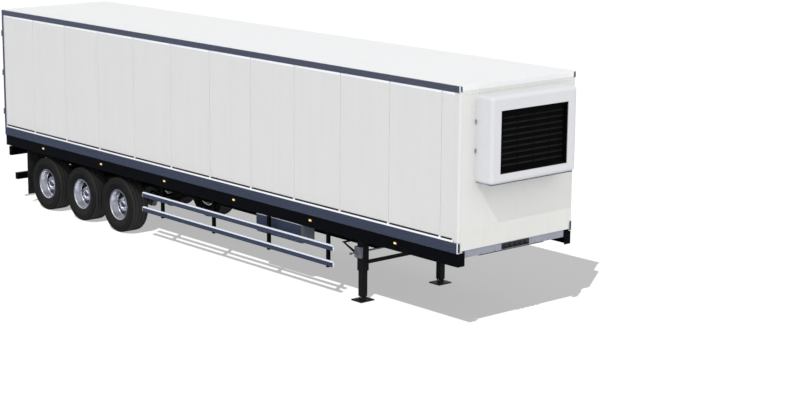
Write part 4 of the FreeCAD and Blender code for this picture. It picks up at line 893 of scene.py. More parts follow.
def tyre_outline(sizes, radius):
    """(along, radius) round a tyre's section, with its grooves, its shoulders and its beads."""
    points = [(-TREAD_HALF, radius - 0.003)]
    for i in range(sizes.tread_grooves):
        middle = ((i + 0.5) / sizes.tread_grooves * 2 - 1) * TREAD_HALF * 0.92
        points += [(middle - 0.0065, radius), (middle - 0.0045, radius - sizes.tread_depth),
                   (middle + 0.0045, radius - sizes.tread_depth), (middle + 0.0065, radius)]
    points.append((TREAD_HALF, radius - 0.003))
    wall = [(TYRE_HALF - inset, radius - drop) for inset, drop in TYRE_WALL]
    wall += [(RIM_SIDE - 0.002, RIM_EDGE + 0.006), (RIM_SIDE - 0.013, RIM_EDGE + 0.001),
             (RIM_SIDE - 0.0145, BEAD + 0.0005)]
    return points + wall + [(-u, v) for u, v in reversed(wall)]


def rim_outlines():
    """(outboard, radius) round the dished outer half with its disc, and round the inner barrel."""
    seat, side = BEAD - 0.0005, RIM_SIDE
    well = seat - 0.024
    face, back = DISC_FACE, DISC_FACE - DISC_THICK
    dish = [
        (side - 0.0125, seat), (side - 0.05, seat), (back + 0.024, well), (back, well),
        (back, HUB_RADIUS - 0.02), (face, HUB_RADIUS - 0.02), (face, well - 0.016),
        (face + 0.014, well - 0.01), (side - 0.006, seat - 0.006), (side, RIM_EDGE - 0.012),
        (side, RIM_EDGE), (side - 0.011, RIM_EDGE),
    ]
    barrel = [
        (back, well), (0.074 - side, well), (0.05 - side, seat), (0.0125 - side, seat),
        (0.011 - side, RIM_EDGE), (-side, RIM_EDGE), (-side, seat - 0.009), (0.041 - side, seat - 0.009),
        (0.065 - side, well - 0.009), (back, well - 0.009),
    ]
    return rounded(dish, 0.004, 2), rounded(barrel, 0.003, 2)


def make_wheels(sizes):
    """Each wheel's tyre, rim, inner barrel, hub, brake drum, nuts and valve."""
    dish, barrel = rim_outlines()
    for number, centre in WHEELS.items():
        body, out = "wheel_" + number, Y if centre.y > 0 else -Y
        tyre = publish("tyre_%s_moulded" % number, lathed(tyre_outline(sizes, centre.z), centre, out, 144),
                       body, "tyre_black", "tyre_" + number, smooth=50)
        # tread in lighter rubber: wear, and painted light
        refaced(tyre, "worn_tread", lambda face: abs(face.normal.y) < 0.45
                and (face.center - centre).cross(out).length > centre.z - 0.03)
        rim = publish("rim_" + number, drilled(dish, sizes, centre, out), body, "chrome_rim",
                      "wheel_" + number)
        # disc face and everything inboard of it in dark blue-grey: painted reflection
        refaced(rim, "dusty_disc", lambda face: (face.center - centre).dot(out) < DISC_FACE + 0.001)
        nuts = repeated("ring", head("nut", 0.0165, out), count=sizes.wheel_nuts,
                        start=centre + out * (HUB_FACE + 0.0005), radius=sizes.nut_circle)
        valve, foot = bmesh.new(), centre + X * VALVE_RADIUS
        rod(valve, foot + out * 0.008, foot + out * 0.05, 0.005, 10)
        # inner barrel in the near-white alloy: painted reflection
        for name, mesh, finish in (("barrel_", lathed(barrel, centre, out, 96), "cast_alloy"),
                                   ("hub_", hub(centre, out), "chrome_hub"),
                                   ("drum_", drum(centre, out), "cast_iron"),
                                   ("nuts_", joined("nuts", [nuts, finished(valve, "valve")]), "chrome_hub")):
            publish(name + number, mesh, body, "chrome_rim", finish=finish)


def drilled(outline, sizes, centre, out):
    """Turned outline with its hand holes cut and their edges eased."""
    holes = bmesh.new()
    for i in range(sizes.hand_holes):
        turn = Matrix.Rotation(2 * math.pi * (i + 0.5) / sizes.hand_holes, 3, out)
        at = centre + turn @ (Z * HOLE_CIRCLE)
        rod(holes, at - out * 0.03, at + out * 0.02, sizes.hand_hole_radius, 24, 0.0)
    return evened(cut(lathed(outline, centre, out, 120), holes), 32)


def hub(centre, out):
    """Hub flange that clamps the disc, with its stepped cap."""
    bm = bmesh.new()
    flange = [(HUB_FACE, 0), (HUB_FACE, HUB_RADIUS - 0.004), (HUB_FACE - 0.005, HUB_RADIUS),
              (-0.006, HUB_RADIUS), (-0.006, 0)]
    turned(bm, rounded(flange, 0.004, 2), centre, out, 64)
    cap = [(0.0705, 0), (0.0705, 0.05), (0.066, 0.064), (0.064, 0.07), (0.052, 0.082), (HUB_FACE, 0.086),
           (HUB_FACE, 0)]
    turned(bm, rounded(cap, 0.003, 2), centre, out, 48)
    return finished(bm, "hub")


def drum(centre, out):
    """Ribbed brake drum behind the disc and the hub's barrel, which shows through the hand holes."""
    section = [(-0.0085, 0.12), (-0.0085, 0.228)]
    for at in (-0.02, -0.05, -0.08):
        section += [(at, 0.236), (at - 0.012, 0.236), (at - 0.016, 0.228)]
    section += [(-0.13, 0.228), (-0.13, 0.205), (-0.1415, 0.11), (-0.1415, 0.066), (-0.12, 0.066),
                (-0.12, 0.12)]
    return lathed(section, centre, out, 64)


# ---- suspension, chassis, legs, guards and tanks ------------------------------------------------

def make_suspension(sizes):
    """Arms, hangers, axles and brakes with their bolts, moulded bellows, and a pair of clamping
    bolts each side of an axle."""
    refined(axle_beams=0.002, trailing_arms=0.004, hanger_brackets=0.003, shock_absorbers=0.0015,
            brake_chambers=0.002)
    bellows, plates, clamps, bolts = bmesh.new(), bmesh.new(), bmesh.new(), []
    for low, high in parts_of("air_springs"):
        foot = Vector(((low.x + high.x) / 2, (low.y + high.y) / 2, low.z))
        tall, wide = high.z - low.z, (high.x - low.x) / 2
        for bm, section, radius, corners, steps in (
                (plates, PISTON, 0.006, 3, 32), (bellows, BELLOWS, 0.006, 2, 40),
                (plates, TOP_PLATE, 0.004, 2, 32)):
            outline = [(tall * up, wide * across) for up, across in section]
            turned(bm, rounded(outline, radius, corners), foot, Z, steps)
    show("air_spring_bellows", bellows, "black_rubber", "air_springs")
    show("air_spring_plates", plates, "chassis_black")
    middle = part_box("chassis_beams")[1].y - BEAM_FLANGE_HALF
    for centre in WHEELS.values():
        side = math.copysign(1, centre.y)
        top = touch("trailing_arms", (centre.x, side * middle, centre.z + 0.35), -Z).z
        for across in (-CLAMP_BOLTS[1], CLAMP_BOLTS[1]):
            for along in (-CLAMP_BOLTS[0], CLAMP_BOLTS[0]):
                foot = Vector((centre.x + along, side * (middle + across), centre.z - 0.09))
                rod(clamps, foot, Vector((foot.x, foot.y, top + 0.026)), 0.009, 12)
                for z in (top + 0.004, centre.z - 0.098):
                    boss(clamps, (foot.x, foot.y, z), Z, 0.015, 0.016, 6, (0.002, 0.003))
        on_side(clamps, side, (centre.x - 0.094, centre.x + 0.094), (middle - 0.05, middle + 0.05),
                (centre.z - 0.083, centre.z - 0.0645), 0.004)
    show("axle_clamps", clamps, "chassis_black")
    for low, high in parts_of("hanger_brackets"):
        for y, way in ((low.y, -1), (high.y, 1)):
            bolts.append(row("bolt", 0.019, (0, way, 0), ((low.x + high.x) / 2, y, low.z + 0.045)))
            y, z = y - way * 0.008, high.z - 0.05
            bolts.append(row("bolt", 0.008, (0, way, 0), (low.x + 0.025, y, z), (high.x - 0.025, y, z), 0.06))
    for low, high in parts_of("brake_chambers"):
        bolts.append(row("bolt", 0.007, X, (high.x - 0.0005, (low.y + high.y) / 2, high.z - 0.066)))
    show_rows("suspension_bolts", bolts)


def make_chassis(sizes):
    """Beams, cross members, outriggers and skirts, the bolts at each crossing, and the air and
    electric lines along the beams."""
    refined(chassis_beams=0.003, cross_members=0.002, outriggers=0.002, side_skirts=0.003,
            coupling_plate=0.003, kingpin=0.0015)
    members = sorted(((low + high) / 2 for low, high in parts_of("cross_members")), key=lambda at: at.x)
    pitch = members[1].x - members[0].x
    beam_low, beam_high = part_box("chassis_beams")
    skirt_low, skirt_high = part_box("side_skirts")
    plate_low, plate_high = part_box("coupling_plate")
    middle = beam_high.y - BEAM_FLANGE_HALF
    bolts, lines = [], bmesh.new()
    for _, side in SIDES:
        for rise in (-0.025, 0.025):
            for along in (-0.05, 0.05):
                start = Vector((members[0].x + along, side * (middle - 0.0045), members[0].z + rise))
                stop = start + X * pitch * (len(members) - 1)
                bolts.append(row("bolt", 0.009, (0, -side, 0), start, stop, pitch))
        y, z = side * (skirt_high.y - 0.04), skirt_low.z + 0.0005
        bolts.append(row("bolt", 0.006, -Z, (skirt_low.x + 0.2, y, z), (skirt_high.x - 0.2, y, z), 0.6))
        y = side * (middle - 0.03)
        for k, radius in enumerate((0.009, 0.009, 0.012)):
            z = beam_low.z + 0.06 + 0.03 * k
            rod(lines, Vector((beam_low.x + 0.4, y, z)), Vector((beam_high.x - LINE_FRONT, y, z)), radius, 10)
        for k in range(int((beam_high.x - LINE_FRONT - beam_low.x - 0.6) / LINE_CLIP_PITCH)):
            x = beam_low.x + 0.6 + LINE_CLIP_PITCH * k
            on_side(lines, side, (x, x + 0.025), (middle - 0.045, middle - 0.004),
                    (beam_low.z + 0.042, beam_low.z + 0.14), 0.003)
        y, z = side * (plate_high.y - RIVET_END), plate_low.z
        bolts.append(row("bolt", 0.009, -Z, (plate_low.x + 0.06, y, z), (plate_high.x - 0.06, y, z), 0.16))
    show_rows("chassis_bolts", bolts, "chassis_black")
    show("air_lines", lines, "black_rubber")


def make_legs(sizes):
    """Landing legs, their feet and the crank, with the bolts of their mounts and gearbox."""
    refined(landing_leg_tubes=0.004, landing_feet=0.004, crank_gear=0.003)
    bolts, bands = [], bmesh.new()
    for low, high in parts_of("landing_feet"):
        side = math.copysign(1, low.y)
        x, y = (low.x + high.x) / 2, (low.y + high.y) / 2
        for way in (-1, 1):
            pin = touch("landing_feet", (x, y + way, low.z + 0.06), (0, -way, 0))
            bolts.append(row("bolt", 0.014, (0, way, 0), pin))
        face = touch("landing_leg_tubes", (x, side * 3, 0.95), (0, -side, 0)).y
        outer = face + side * 0.004
        for z in LEG_BANDS:
            slab(bands, (x - 0.078, face - side * 0.002, z), (x + 0.078, outer, z + 0.05), 0.002)
            bolts.append(row("bolt", 0.008, (0, side, 0), (x - 0.055, outer, z + 0.025),
                             (x + 0.055, outer, z + 0.025), 0.11))
    box_low, box_high = min(parts_of("crank_gear"), key=lambda part: part[0].y)
    x, z = (box_low.x + box_high.x) / 2, (box_low.z + box_high.z) / 2
    for way in (-0.055, 0.055):
        ends = [touch("crank_gear", (x + way, -3, z + rise), Y) for rise in (-0.07, 0.07)]
        bolts.append(row("bolt", 0.008, -Y, *ends, 0.07))
    show_rows("leg_bolts", bolts)
    show("leg_bands", bands, "chassis_black")


def make_guards(sizes):
    """Side guard rails with plugs in their ends, their posts and the clamps that hold each rail."""
    pieces = refined(side_guard_rails=0.003, side_guard_posts=0.004)
    # upward faces of the guard rails painted pale: painted highlight
    refaced(pieces["side_guard_rails"], "bright_edge", lambda face: face.normal.z > 0.3)
    plugs, clamps, bolts = bmesh.new(), bmesh.new(), []
    rails = sided_parts("side_guard_rails")
    for low, high, side, _, outer in rails:
        for x in (high.x - 0.003, low.x - 0.004):
            on_side(plugs, side, (x, x + 0.007), (outer - 0.036, outer - 0.003),
                    (low.z + 0.003, high.z - 0.012), 0.002)
    for post_low, post_high, side, back, outer in sided_parts("side_guard_posts"):
        x, y = (post_low.x + post_high.x) / 2, side * (back - 0.002)
        for low, high in (rail[:2] for rail in rails if rail[2] == side):
            on_side(clamps, side, (x - 0.048, x + 0.048), (back - 0.002, back + 0.056),
                    (low.z + 0.02, high.z - 0.02), 0.004)
            z = (low.z + high.z) / 2
            bolts.append(row("bolt", 0.007, (0, -side, 0), (x - 0.039, y, z), (x + 0.039, y, z), 0.078))
    show("guard_plugs", plugs, "guard_aluminium", finish="trim_white")
    show("guard_clamps", clamps, "black_skirt")
    show_rows("guard_bolts", bolts)


def make_tanks(sizes):
    """Fuel tank with its front end, rounded front corner and top faces painted paler as painted light, a pale
    strip along its top edge as a painted highlight, its filler cap, sender and drain, and the air tanks with
    their bands, bosses and valves."""
    pieces = refined(fuel_tank=0.026, air_tanks=0.004)
    for finish, chosen in (
            # forward faces painted lighter: painted light
            ("tank_end", lambda face: face.normal.x > 0.9),
            # rounded front corner painted paler: painted sheen
            ("tank_corner", lambda face: 0.4 < face.normal.x <= 0.9 and abs(face.normal.z) < 0.2),
            # upward faces painted pale: painted highlight
            ("bright_edge", lambda face: face.normal.z > 0.2)):
        refaced(pieces["fuel_tank"], finish, chosen)
    low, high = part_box("fuel_tank")
    middle = (low.x + high.x) / 2
    seam, fittings, bands = bmesh.new(), bmesh.new(), bmesh.new()
    # pale strip along the tank's top edge: painted highlight, not a seam
    slab(seam, (low.x + 0.075, low.y - 0.002, high.z - 0.03),
         (high.x - 0.075, low.y + 0.006, high.z - 0.006), 0.0015)
    show("tank_seam", seam, "tank_blue_grey", finish="bright_edge")
    top = touch("fuel_tank", (middle, low.y + 0.1, high.z + 1), -Z).z
    cap = Vector((high.x - TANK_FILLER_BACK, low.y + TANK_FILLER_IN, high.z - 0.012))
    lid = [(0, 0), (0, 0.046), (0.03, 0.046), (0.036, 0.03), (0.036, 0)]
    turned(fittings, rounded(lid, 0.004, 3), cap, Z, 32)
    for k in range(12):
        rib = cap + Matrix.Rotation(2 * math.pi * k / 12, 3, "Z") @ (X * 0.045)
        rod(fittings, rib + Z * 0.004, rib + Z * 0.026, 0.004, 8)
    boss(fittings, (low.x + 0.4, low.y + 0.16, top), Z, 0.022, 0.014, 12)
    boss(fittings, (middle, low.y + 0.16, low.z), -Z, 0.014, 0.018, 6)
    for low, high in parts_of("air_tanks"):
        centre, radius = (low + high) / 2, (high.z - low.z) / 2
        band = [(0, radius - 0.004), (0, radius + 0.003), (0.04, radius + 0.003), (0.04, radius - 0.004)]
        for share in (0.24, 0.76):
            x = low.x + share * (high.x - low.x) - 0.02
            turned(bands, band, Vector((x, centre.y, centre.z)), X, 40)
        boss(fittings, (high.x, centre.y, centre.z), X, 0.02, 0.02, 6)
        boss(fittings, (centre.x, centre.y, low.z), -Z, 0.012, 0.03, 10, (0.01, 0.006))
    show("tank_fittings", fittings, "bare_steel")
    show("air_tank_bands", bands, "black_rubber")


# ---- tail and lamps -----------------------------------------------------------------------------

def make_tail(sizes):
    """Lamp beam with its clusters, reflectors and blank number plate, under-run bar, flaps and buffers."""
    refined(rear_lamp_beam=0.004, under_run_bar=0.004, mud_flaps=0.0015, dock_buffers=0.006)
    housings, reds, ambers, whites, caps = (bmesh.new() for i in range(5))
    beam_low, beam_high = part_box("rear_lamp_beam")
    plate_z = (beam_low.z + beam_high.z) / 2
    glass = rounded([(0.012, 0), (0.012, LAMP_RADIUS), (0.001, 0.04), (0, 0.03), (0, 0)], 0.003, 2)
    for low, high, side, inner, outer in sided_parts("rear_lamps"):
        slab(housings, (low.x + 0.008, low.y, low.z), high, 0.007)
        step = (outer - inner) / 4
        for k, lens in enumerate((whites, reds, ambers, reds)):
            at = Vector((low.x, side * (inner + step * (k + 0.5)), (low.z + high.z) / 2))
            turned(lens, glass, at, X, 36)
            turned(housings, [(0.01, 0.0425), (0.004, 0.0425), (0.003, 0.046), (0.012, 0.048)], at, X, 36)
        triangle(reds, Vector((beam_low.x, side * (inner - 0.13), plate_z - 0.02)), REFLECTOR_RADIUS, 0.006)
    show("lamp_housings", housings, "black_rubber")
    show("lamp_reds", reds, "red_lens", "rear_lamps")
    show("lamp_ambers", ambers, "amber_lens")
    plate_x = beam_low.x - 0.004
    slab(whites, (plate_x, -PLATE_HALF[0], plate_z - PLATE_HALF[1]),
         (beam_low.x, PLATE_HALF[0], plate_z + PLATE_HALF[1]), 0.0015)
    show("plate_and_reversing_lamps", whites, "white_unit")
    bolts = [row("bolt", 0.005, -X, (plate_x, -0.22, plate_z), (plate_x, 0.22, plate_z), 0.44)]
    bar_low, bar_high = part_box("under_run_bar")
    bar_top = touch("under_run_bar", ((bar_low.x + bar_high.x) / 2, 0, bar_high.z + 1), -Z).z
    for _, side in SIDES:
        on_side(caps, side, (bar_low.x - 0.002, bar_high.x + 0.002), (bar_high.y - 0.03, bar_high.y + 0.004),
                (bar_low.z - 0.002, bar_top + 0.002), 0.012)
        for z in (bar_top + 0.06, bar_top + 0.3):
            x = touch("under_run_bar", (bar_low.x - 1, side * BAR_ARM, z), X).x
            bolts.append(row("bolt", 0.009, -X, (x, side * (BAR_ARM - 0.018), z),
                             (x, side * (BAR_ARM + 0.018), z), 0.036))
    show("under_run_caps", caps, "black_skirt")
    for low, high in parts_of("dock_buffers"):
        for z in (low.z + 0.03, high.z - 0.03):
            bolts.append(row("bolt", 0.009, -X, (low.x + 0.0015, (low.y + high.y) / 2, z)))
    show_rows("tail_bolts", bolts)
    ribs = []
    for low, high, side, inner, outer in sided_parts("mud_flaps"):
        step = Vector((0, -side * (FLAP_WIDTH - 0.03) / (sizes.flap_ribs - 1), 0))
        for way, away in ((-1, low.x - 1), (1, high.x + 1)):
            face = touch("mud_flaps", (away, side * (outer - 0.1), low.z + 0.3), X * -way).x
            rib = bmesh.new()
            slab(rib, (-0.001 * way, -0.004, low.z + 0.015), (0.003 * way, 0.004, high.z - 0.045), 0.001)
            ribs.append(repeated("row", finished(rib, "rib"), count=sizes.flap_ribs, step=step,
                                 start=Vector((face, side * (outer - 0.015), 0))))
    show_rows("flap_ribs", ribs, "black_rubber")


def triangle(bm, centre, radius, thick):
    """Adds an upright triangular reflector that faces rearwards."""
    rims = []
    for along, reach in ((0.0, radius), (-thick * 0.7, radius), (-thick, radius * 0.93)):
        rims.append([bm.verts.new(centre + Vector((along, reach * math.sin(turn), reach * math.cos(turn))))
                     for turn in (0.0, 2 * math.pi / 3, 4 * math.pi / 3)])
    bm.faces.new(rims[0])
    bm.faces.new(list(reversed(rims[-1])))
    for a, b in zip(rims, rims[1:]):
        for i in range(3):
            bm.faces.new([a[i], a[(i + 1) % 3], b[(i + 1) % 3], b[i]])


def make_marker_lamps(sizes):
    """Side marker lamps: an amber lens with a brighter raised middle in a black housing."""
    feet, bodies, cores = bmesh.new(), bmesh.new(), bmesh.new()
    for low, high, side, inner, outer in sided_parts("marker_lamps"):
        # shape, inner and outer face, inset along and up, rounding
        for bm, near, far, along, up, bevel in ((feet, inner, inner + 0.004, -0.004, -0.004, 0.0015),
                                                (feet, inner, outer - 0.006, 0.0, 0.0, 0.003),
                                                (bodies, inner + 0.002, outer - 0.003, 0.01, 0.006, 0.004),
                                                (cores, outer - 0.006, outer, 0.022, 0.013, 0.0025)):
            on_side(bm, side, (low.x + along, high.x - along), (near, far), (low.z + up, high.z - up), bevel)
    show("marker_feet", feet, "black_rubber")
    show("marker_bodies", bodies, "amber_lens", "marker_lamps")
    show("marker_cores", cores, "amber_lens", finish="amber_core")


# ---- cooling unit and couplings -----------------------------------------------------------------

def make_unit(sizes):
    """Moulded housing with its drip tray, dark along the housing's lower edge as painted shade, its latches,
    the louvred grille, and the evaporator with its fans inside the box."""
    low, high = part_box("cooling_unit")
    grille_low, grille_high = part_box("unit_grille")
    shell, hole, tray, latches, surround, blade, stays, guards = (bmesh.new() for i in range(8))
    slab(shell, low - X * 0.06, high, 0.062, 8)
    slab(hole, (grille_low.x - 0.0002, grille_low.y, grille_low.z),
         (high.x + 0.1, grille_high.y, grille_high.z))
    housing = modified(cut(finished(shell, "housing"), hole), "BEVEL", width=0.006, segments=3,
                       limit_method="ANGLE", angle_limit=math.radians(60))
    publish("cooling_unit_finished", evened(housing), "chassis", "white_unit", "cooling_unit")
    # dark tray under the housing: a drip tray, and painted shade along the housing's lower edge
    slab(tray, (low.x + 0.001, low.y + 0.034, low.z - 0.016),
         (high.x - 0.034, high.y - 0.034, low.z + 0.006), 0.006)
    show("drip_tray", tray, "blue_grey_rail")
    for _, side in SIDES:
        for z in (low.z + rise for rise in LATCH_HEIGHTS):
            on_side(latches, side, (low.x + 0.002, low.x + 0.03), (high.y - 0.004, high.y + 0.018),
                    (z - 0.03, z + 0.03), 0.004)
    show("unit_latches", latches, "bare_steel")
    back, front, bottom, top = grille_low.x, grille_high.x, grille_low.z, grille_high.z
    slab(surround, grille_low, (back + 0.006, grille_high.y, top))
    for y in (grille_low.y, grille_high.y - GRILLE_BORDER):
        slab(surround, (back, y, bottom), (front, y + GRILLE_BORDER, top), 0.004)
    for z in (bottom, top - GRILLE_BORDER):
        slab(surround, (back, grille_low.y, z), (front, grille_high.y, z + GRILLE_BORDER), 0.004)
    show("grille_frame", surround, "grille_black", "unit_grille")
    bottom, top = bottom + GRILLE_BORDER, top - GRILLE_BORDER
    reach = grille_high.y - GRILLE_BORDER - 0.045
    slab(blade, (back + 0.004, -reach, -0.002), (front - 0.012, reach, 0.002), 0.001)
    pivot = Matrix.Translation((back, 0, 0))
    blade.transform(pivot @ Matrix.Rotation(LOUVRE_ANGLE, 4, "Y") @ pivot.inverted())
    step = (top - bottom) / (sizes.louvres + 1)
    blades = repeated("row", finished(blade, "blade"), count=sizes.louvres,
                      start=Vector((0, 0, bottom + step + 0.016)), step=Vector((0, 0, step)))
    publish("grille_louvres", blades, "chassis", "grille_black", finish="louvre_plastic")
    for y in (-0.36, 0.0, 0.36):
        slab(stays, (front - 0.016, y - 0.004, bottom), (front - 0.01, y + 0.004, top), 0.001)
    show("grille_stays", stays, "grille_black")
    refined(evaporator=0.006)
    low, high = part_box("evaporator")
    for y in FANS:
        at = touch("evaporator", (low.x - 1, y, high.z - 0.13), X) - X * 0.004
        for radius in (0.03, 0.05, 0.07, 0.09, FAN_RADIUS):
            ring = [(-0.003, radius - 0.0025), (0.003, radius - 0.0025), (0.003, radius), (-0.003, radius)]
            turned(guards, ring, at, X, 40)
        for k in range(4):
            arm = Matrix.Rotation(math.pi * (k + 0.5) / 4, 3, "X") @ (Z * FAN_RADIUS)
            rod(guards, at - arm, at + arm, 0.0025, 8)
        turned(guards, [(-0.004, 0), (-0.004, 0.028), (0.0035, 0.03), (0.0035, 0)], at, X, 24)
    show("fan_guards", guards, "grille_black")


def make_couplings(sizes):
    """Panel on the front sill with two air couplings, their lids and three electric sockets."""
    low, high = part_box("front_couplings")
    middle = (low.z + high.z) / 2
    plate = touch("front_couplings", (high.x + 1, low.y + 0.03, middle), -X).x
    deep = high.x - plate
    socket = [(0, 0), (0, 0.03), (deep * 0.25, 0.028), (deep * 0.3, 0.022), (deep * 0.62, 0.022),
              (deep * 0.62, 0)]
    lid = [(deep * 0.6, 0), (deep * 0.6, 0.027), (deep * 0.9, 0.027), (deep, 0.02), (deep, 0)]
    panel, lids = bmesh.new(), bmesh.new()
    slab(panel, low, (plate, high.y, high.z), 0.003)
    for k in range(COUPLINGS):
        y = low.y + 0.08 + k * (high.y - low.y - 0.16) / (COUPLINGS - 1)
        at = Vector((plate - 0.001, y, middle))
        turned(panel, rounded(socket, 0.003, 2), at, X, 28)
        turned(lids, rounded(lid, 0.003, 2), at, X, 28)
        slab(lids, (plate + deep * 0.4, y - 0.008, middle + 0.018),
             (plate + deep * 0.8, y + 0.008, middle + 0.034), 0.003)
    show("coupling_panel", panel, "coupling_parts", "front_couplings")
    show("coupling_lids", lids, "coupling_parts")


# ---- stage --------------------------------------------------------------------------------------

def sheet(name, half, low, high):
    """Flat square on the ground, not part of the trailer."""
    bm = bmesh.new()
    slab(bm, (-half, -half, low), (half, half, high))
    thing = placed(name, finished(bm, name))
    return thing


def make_stage(stage):
    """Pale floor, a dark card that only reflections see, even light with one sun, and the camera."""
    floor = sheet("floor_plane", stage.floor_size / 2, -0.02, 0.0)
    look = Look("studio_floor")
    grey = look.mixed(look.noise(0.8, 3.0), linear("585858"), linear("5A5A5A"))
    floor.data.materials.append(look.done(grey, 1.0, Specular_IOR_Level=0.0, Emission_Color=(1, 1, 1, 1),
                                          Emission_Strength=FLOOR_GLOW))
    lit = bpy.data.collections.new("lit_floor")
    lit.objects.link(floor)
    card = sheet("reflection_card", stage.floor_size / 2, 0.001, 0.004)
    card.data.materials.append(Look("dark_card").done(linear("3C4860"), 1.0))
    card.visible_camera = card.visible_diffuse = card.visible_shadow = card.visible_transmission = False
    scene = bpy.context.scene
    scene.world = bpy.data.worlds.new("studio")
    scene.world.use_nodes = True
    tree = scene.world.node_tree
    way = add(tree, "ShaderNodeSeparateXYZ", {"Vector": add(tree, "ShaderNodeTexCoord").outputs["Generated"]})
    light = add(tree, "ShaderNodeMapRange", {"Value": way.outputs["X"], "From Min": -1.0, "From Max": 1.0,
                                             "To Min": SKY[0], "To Max": SKY[1]}).outputs["Result"]
    feed(tree, tree.nodes["Background"], {"Color": (1, 1, 1, 1), "Strength": light})
    for name, energy in SUNS:
        sun = bpy.data.lights.new(name, "SUN")
        sun.energy = energy
        sun.angle = math.radians(0.3)
        lamp = placed(name, sun)
        lamp.rotation_euler = Vector(SUN_FROM).to_track_quat("Z", "Y").to_euler()
        if name == "floor_sun":
            lamp.light_linking.receiver_collection = lit
    scene.view_settings.view_transform = "Standard"
    camera = placed("camera", bpy.data.cameras.new("camera"))
    az, el = stage.camera_turn, stage.camera_tilt
    right = Vector((math.cos(az), math.sin(az), 0))
    back = Vector((math.sin(az) * math.cos(el), -math.cos(az) * math.cos(el), math.sin(el)))
    turn = Matrix((right, back.cross(right), back)).transposed().to_4x4()
    camera.matrix_world = Matrix.Translation(Vector(stage.camera_place)) @ turn
    camera.data.lens = stage.camera_lens
    camera.data.sensor_width, camera.data.shift_x, camera.data.shift_y = FILM
    camera.data.clip_end = 500
    scene.camera = camera


# ---- add-on -------------------------------------------------------------------------------------

class TRAILER_OT_finishes(bpy.types.Operator):
    """Makes the materials"""
    bl_idname = "trailer.finishes"
    bl_label = "Finishes"

    def execute(self, context):
        FINISHES.update(make_finishes(context.scene.trailer_colours))
        TREES["row"] = repeat_tree("Row of copies", False)
        TREES["ring"] = repeat_tree("Ring of copies", True)
        return {"FINISHED"}


class Step:
    """A step that makes its pieces from the scene's sizes."""

    def execute(self, context):
        self.make(context.scene.trailer_sizes)
        return {"FINISHED"}


class TRAILER_OT_body(Step, bpy.types.Operator):
    """Makes the insulated box with its rails, lips and rivets"""
    bl_idname = "trailer.body"
    bl_label = "Box"
    make = staticmethod(make_box)


class TRAILER_OT_load_floor(Step, bpy.types.Operator):
    """Makes the ribbed load floor and its scuff plates"""
    bl_idname = "trailer.load_floor"
    bl_label = "Load floor"
    make = staticmethod(make_load_floor)


class TRAILER_OT_doors(Step, bpy.types.Operator):
    """Makes the rear doors with their gaskets, straps and lock bars"""
    bl_idname = "trailer.doors"
    bl_label = "Rear doors"
    make = staticmethod(make_doors)


class TRAILER_OT_wheels(Step, bpy.types.Operator):
    """Makes the tyres, rims, hubs, drums and wheel nuts"""
    bl_idname = "trailer.wheels"
    bl_label = "Wheels"
    make = staticmethod(make_wheels)


class TRAILER_OT_suspension(Step, bpy.types.Operator):
    """Makes the axles, arms, air springs and brakes"""
    bl_idname = "trailer.suspension"
    bl_label = "Suspension"
    make = staticmethod(make_suspension)


class TRAILER_OT_chassis(Step, bpy.types.Operator):
    """Makes the beams, cross members, skirts and air lines"""
    bl_idname = "trailer.chassis"
    bl_label = "Chassis"
    make = staticmethod(make_chassis)


class TRAILER_OT_legs(Step, bpy.types.Operator):
    """Makes the landing legs and their crank"""
    bl_idname = "trailer.legs"
    bl_label = "Landing legs"
    make = staticmethod(make_legs)


class TRAILER_OT_guards(Step, bpy.types.Operator):
    """Makes the side guard rails, posts and clamps"""
    bl_idname = "trailer.guards"
    bl_label = "Side guards"
    make = staticmethod(make_guards)


class TRAILER_OT_tanks(Step, bpy.types.Operator):
    """Makes the fuel tank and the air tanks"""
    bl_idname = "trailer.tanks"
    bl_label = "Tanks"
    make = staticmethod(make_tanks)


class TRAILER_OT_tail(Step, bpy.types.Operator):
    """Makes the rear lamps, under-run bar, mud flaps and buffers"""
    bl_idname = "trailer.tail"
    bl_label = "Tail"
    make = staticmethod(make_tail)


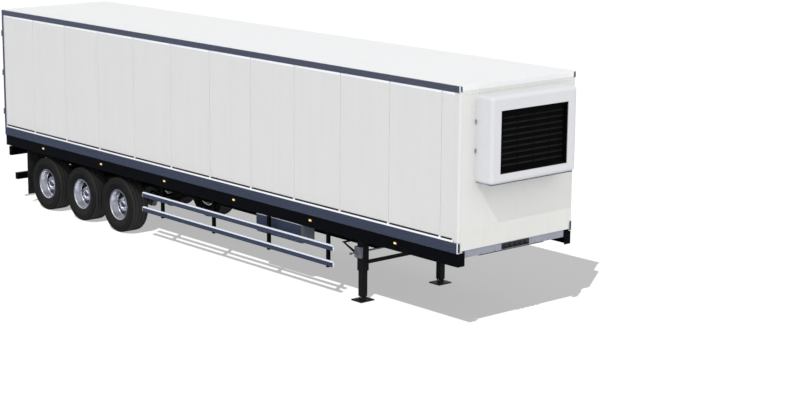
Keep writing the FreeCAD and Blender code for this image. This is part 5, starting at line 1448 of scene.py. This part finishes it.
class TRAILER_OT_marker_lamps(Step, bpy.types.Operator):
    """Makes the side marker lamps"""
    bl_idname = "trailer.marker_lamps"
    bl_label = "Marker lamps"
    make = staticmethod(make_marker_lamps)


class TRAILER_OT_unit(Step, bpy.types.Operator):
    """Makes the cooling unit, its grille and the evaporator"""
    bl_idname = "trailer.unit"
    bl_label = "Cooling unit"
    make = staticmethod(make_unit)


class TRAILER_OT_couplings(Step, bpy.types.Operator):
    """Makes the front air and electric couplings"""
    bl_idname = "trailer.couplings"
    bl_label = "Couplings"
    make = staticmethod(make_couplings)


class TRAILER_OT_stage(bpy.types.Operator):
    """Sets out the floor, the light and the camera"""
    bl_idname = "trailer.stage"
    bl_label = "Stage"

    def execute(self, context):
        make_stage(context.scene.trailer_stage)
        return {"FINISHED"}


STEPS = (TRAILER_OT_finishes, TRAILER_OT_body, TRAILER_OT_load_floor, TRAILER_OT_doors, TRAILER_OT_wheels,
         TRAILER_OT_suspension, TRAILER_OT_chassis, TRAILER_OT_legs, TRAILER_OT_guards, TRAILER_OT_tanks,
         TRAILER_OT_tail, TRAILER_OT_marker_lamps, TRAILER_OT_unit, TRAILER_OT_couplings, TRAILER_OT_stage)


class TRAILER_PT_panel(bpy.types.Panel):
    """Lists the steps in the order they run"""
    bl_label = "Trailer"
    bl_idname = "TRAILER_PT_panel"
    bl_space_type = "VIEW_3D"
    bl_region_type = "UI"
    bl_category = "Trailer"

    def draw(self, context):
        for step in STEPS:
            self.layout.operator(step.bl_idname)


CLASSES = (TrailerColours, TrailerSizes, TrailerStage) + STEPS + (TRAILER_PT_panel,)
GROUPS = (("trailer_colours", TrailerColours), ("trailer_sizes", TrailerSizes),
          ("trailer_stage", TrailerStage))


def register():
    for cls in CLASSES:
        bpy.utils.register_class(cls)
    for name, group in GROUPS:
        setattr(bpy.types.Scene, name, PointerProperty(type=group))


def unregister():
    for name, group in GROUPS:
        delattr(bpy.types.Scene, name)
    for cls in reversed(CLASSES):
        bpy.utils.unregister_class(cls)


def main():
    register()
    for step in STEPS:
        group, action = step.bl_idname.split(".")
        getattr(getattr(bpy.ops, group), action)()


if __name__ == "__main__":
    main()
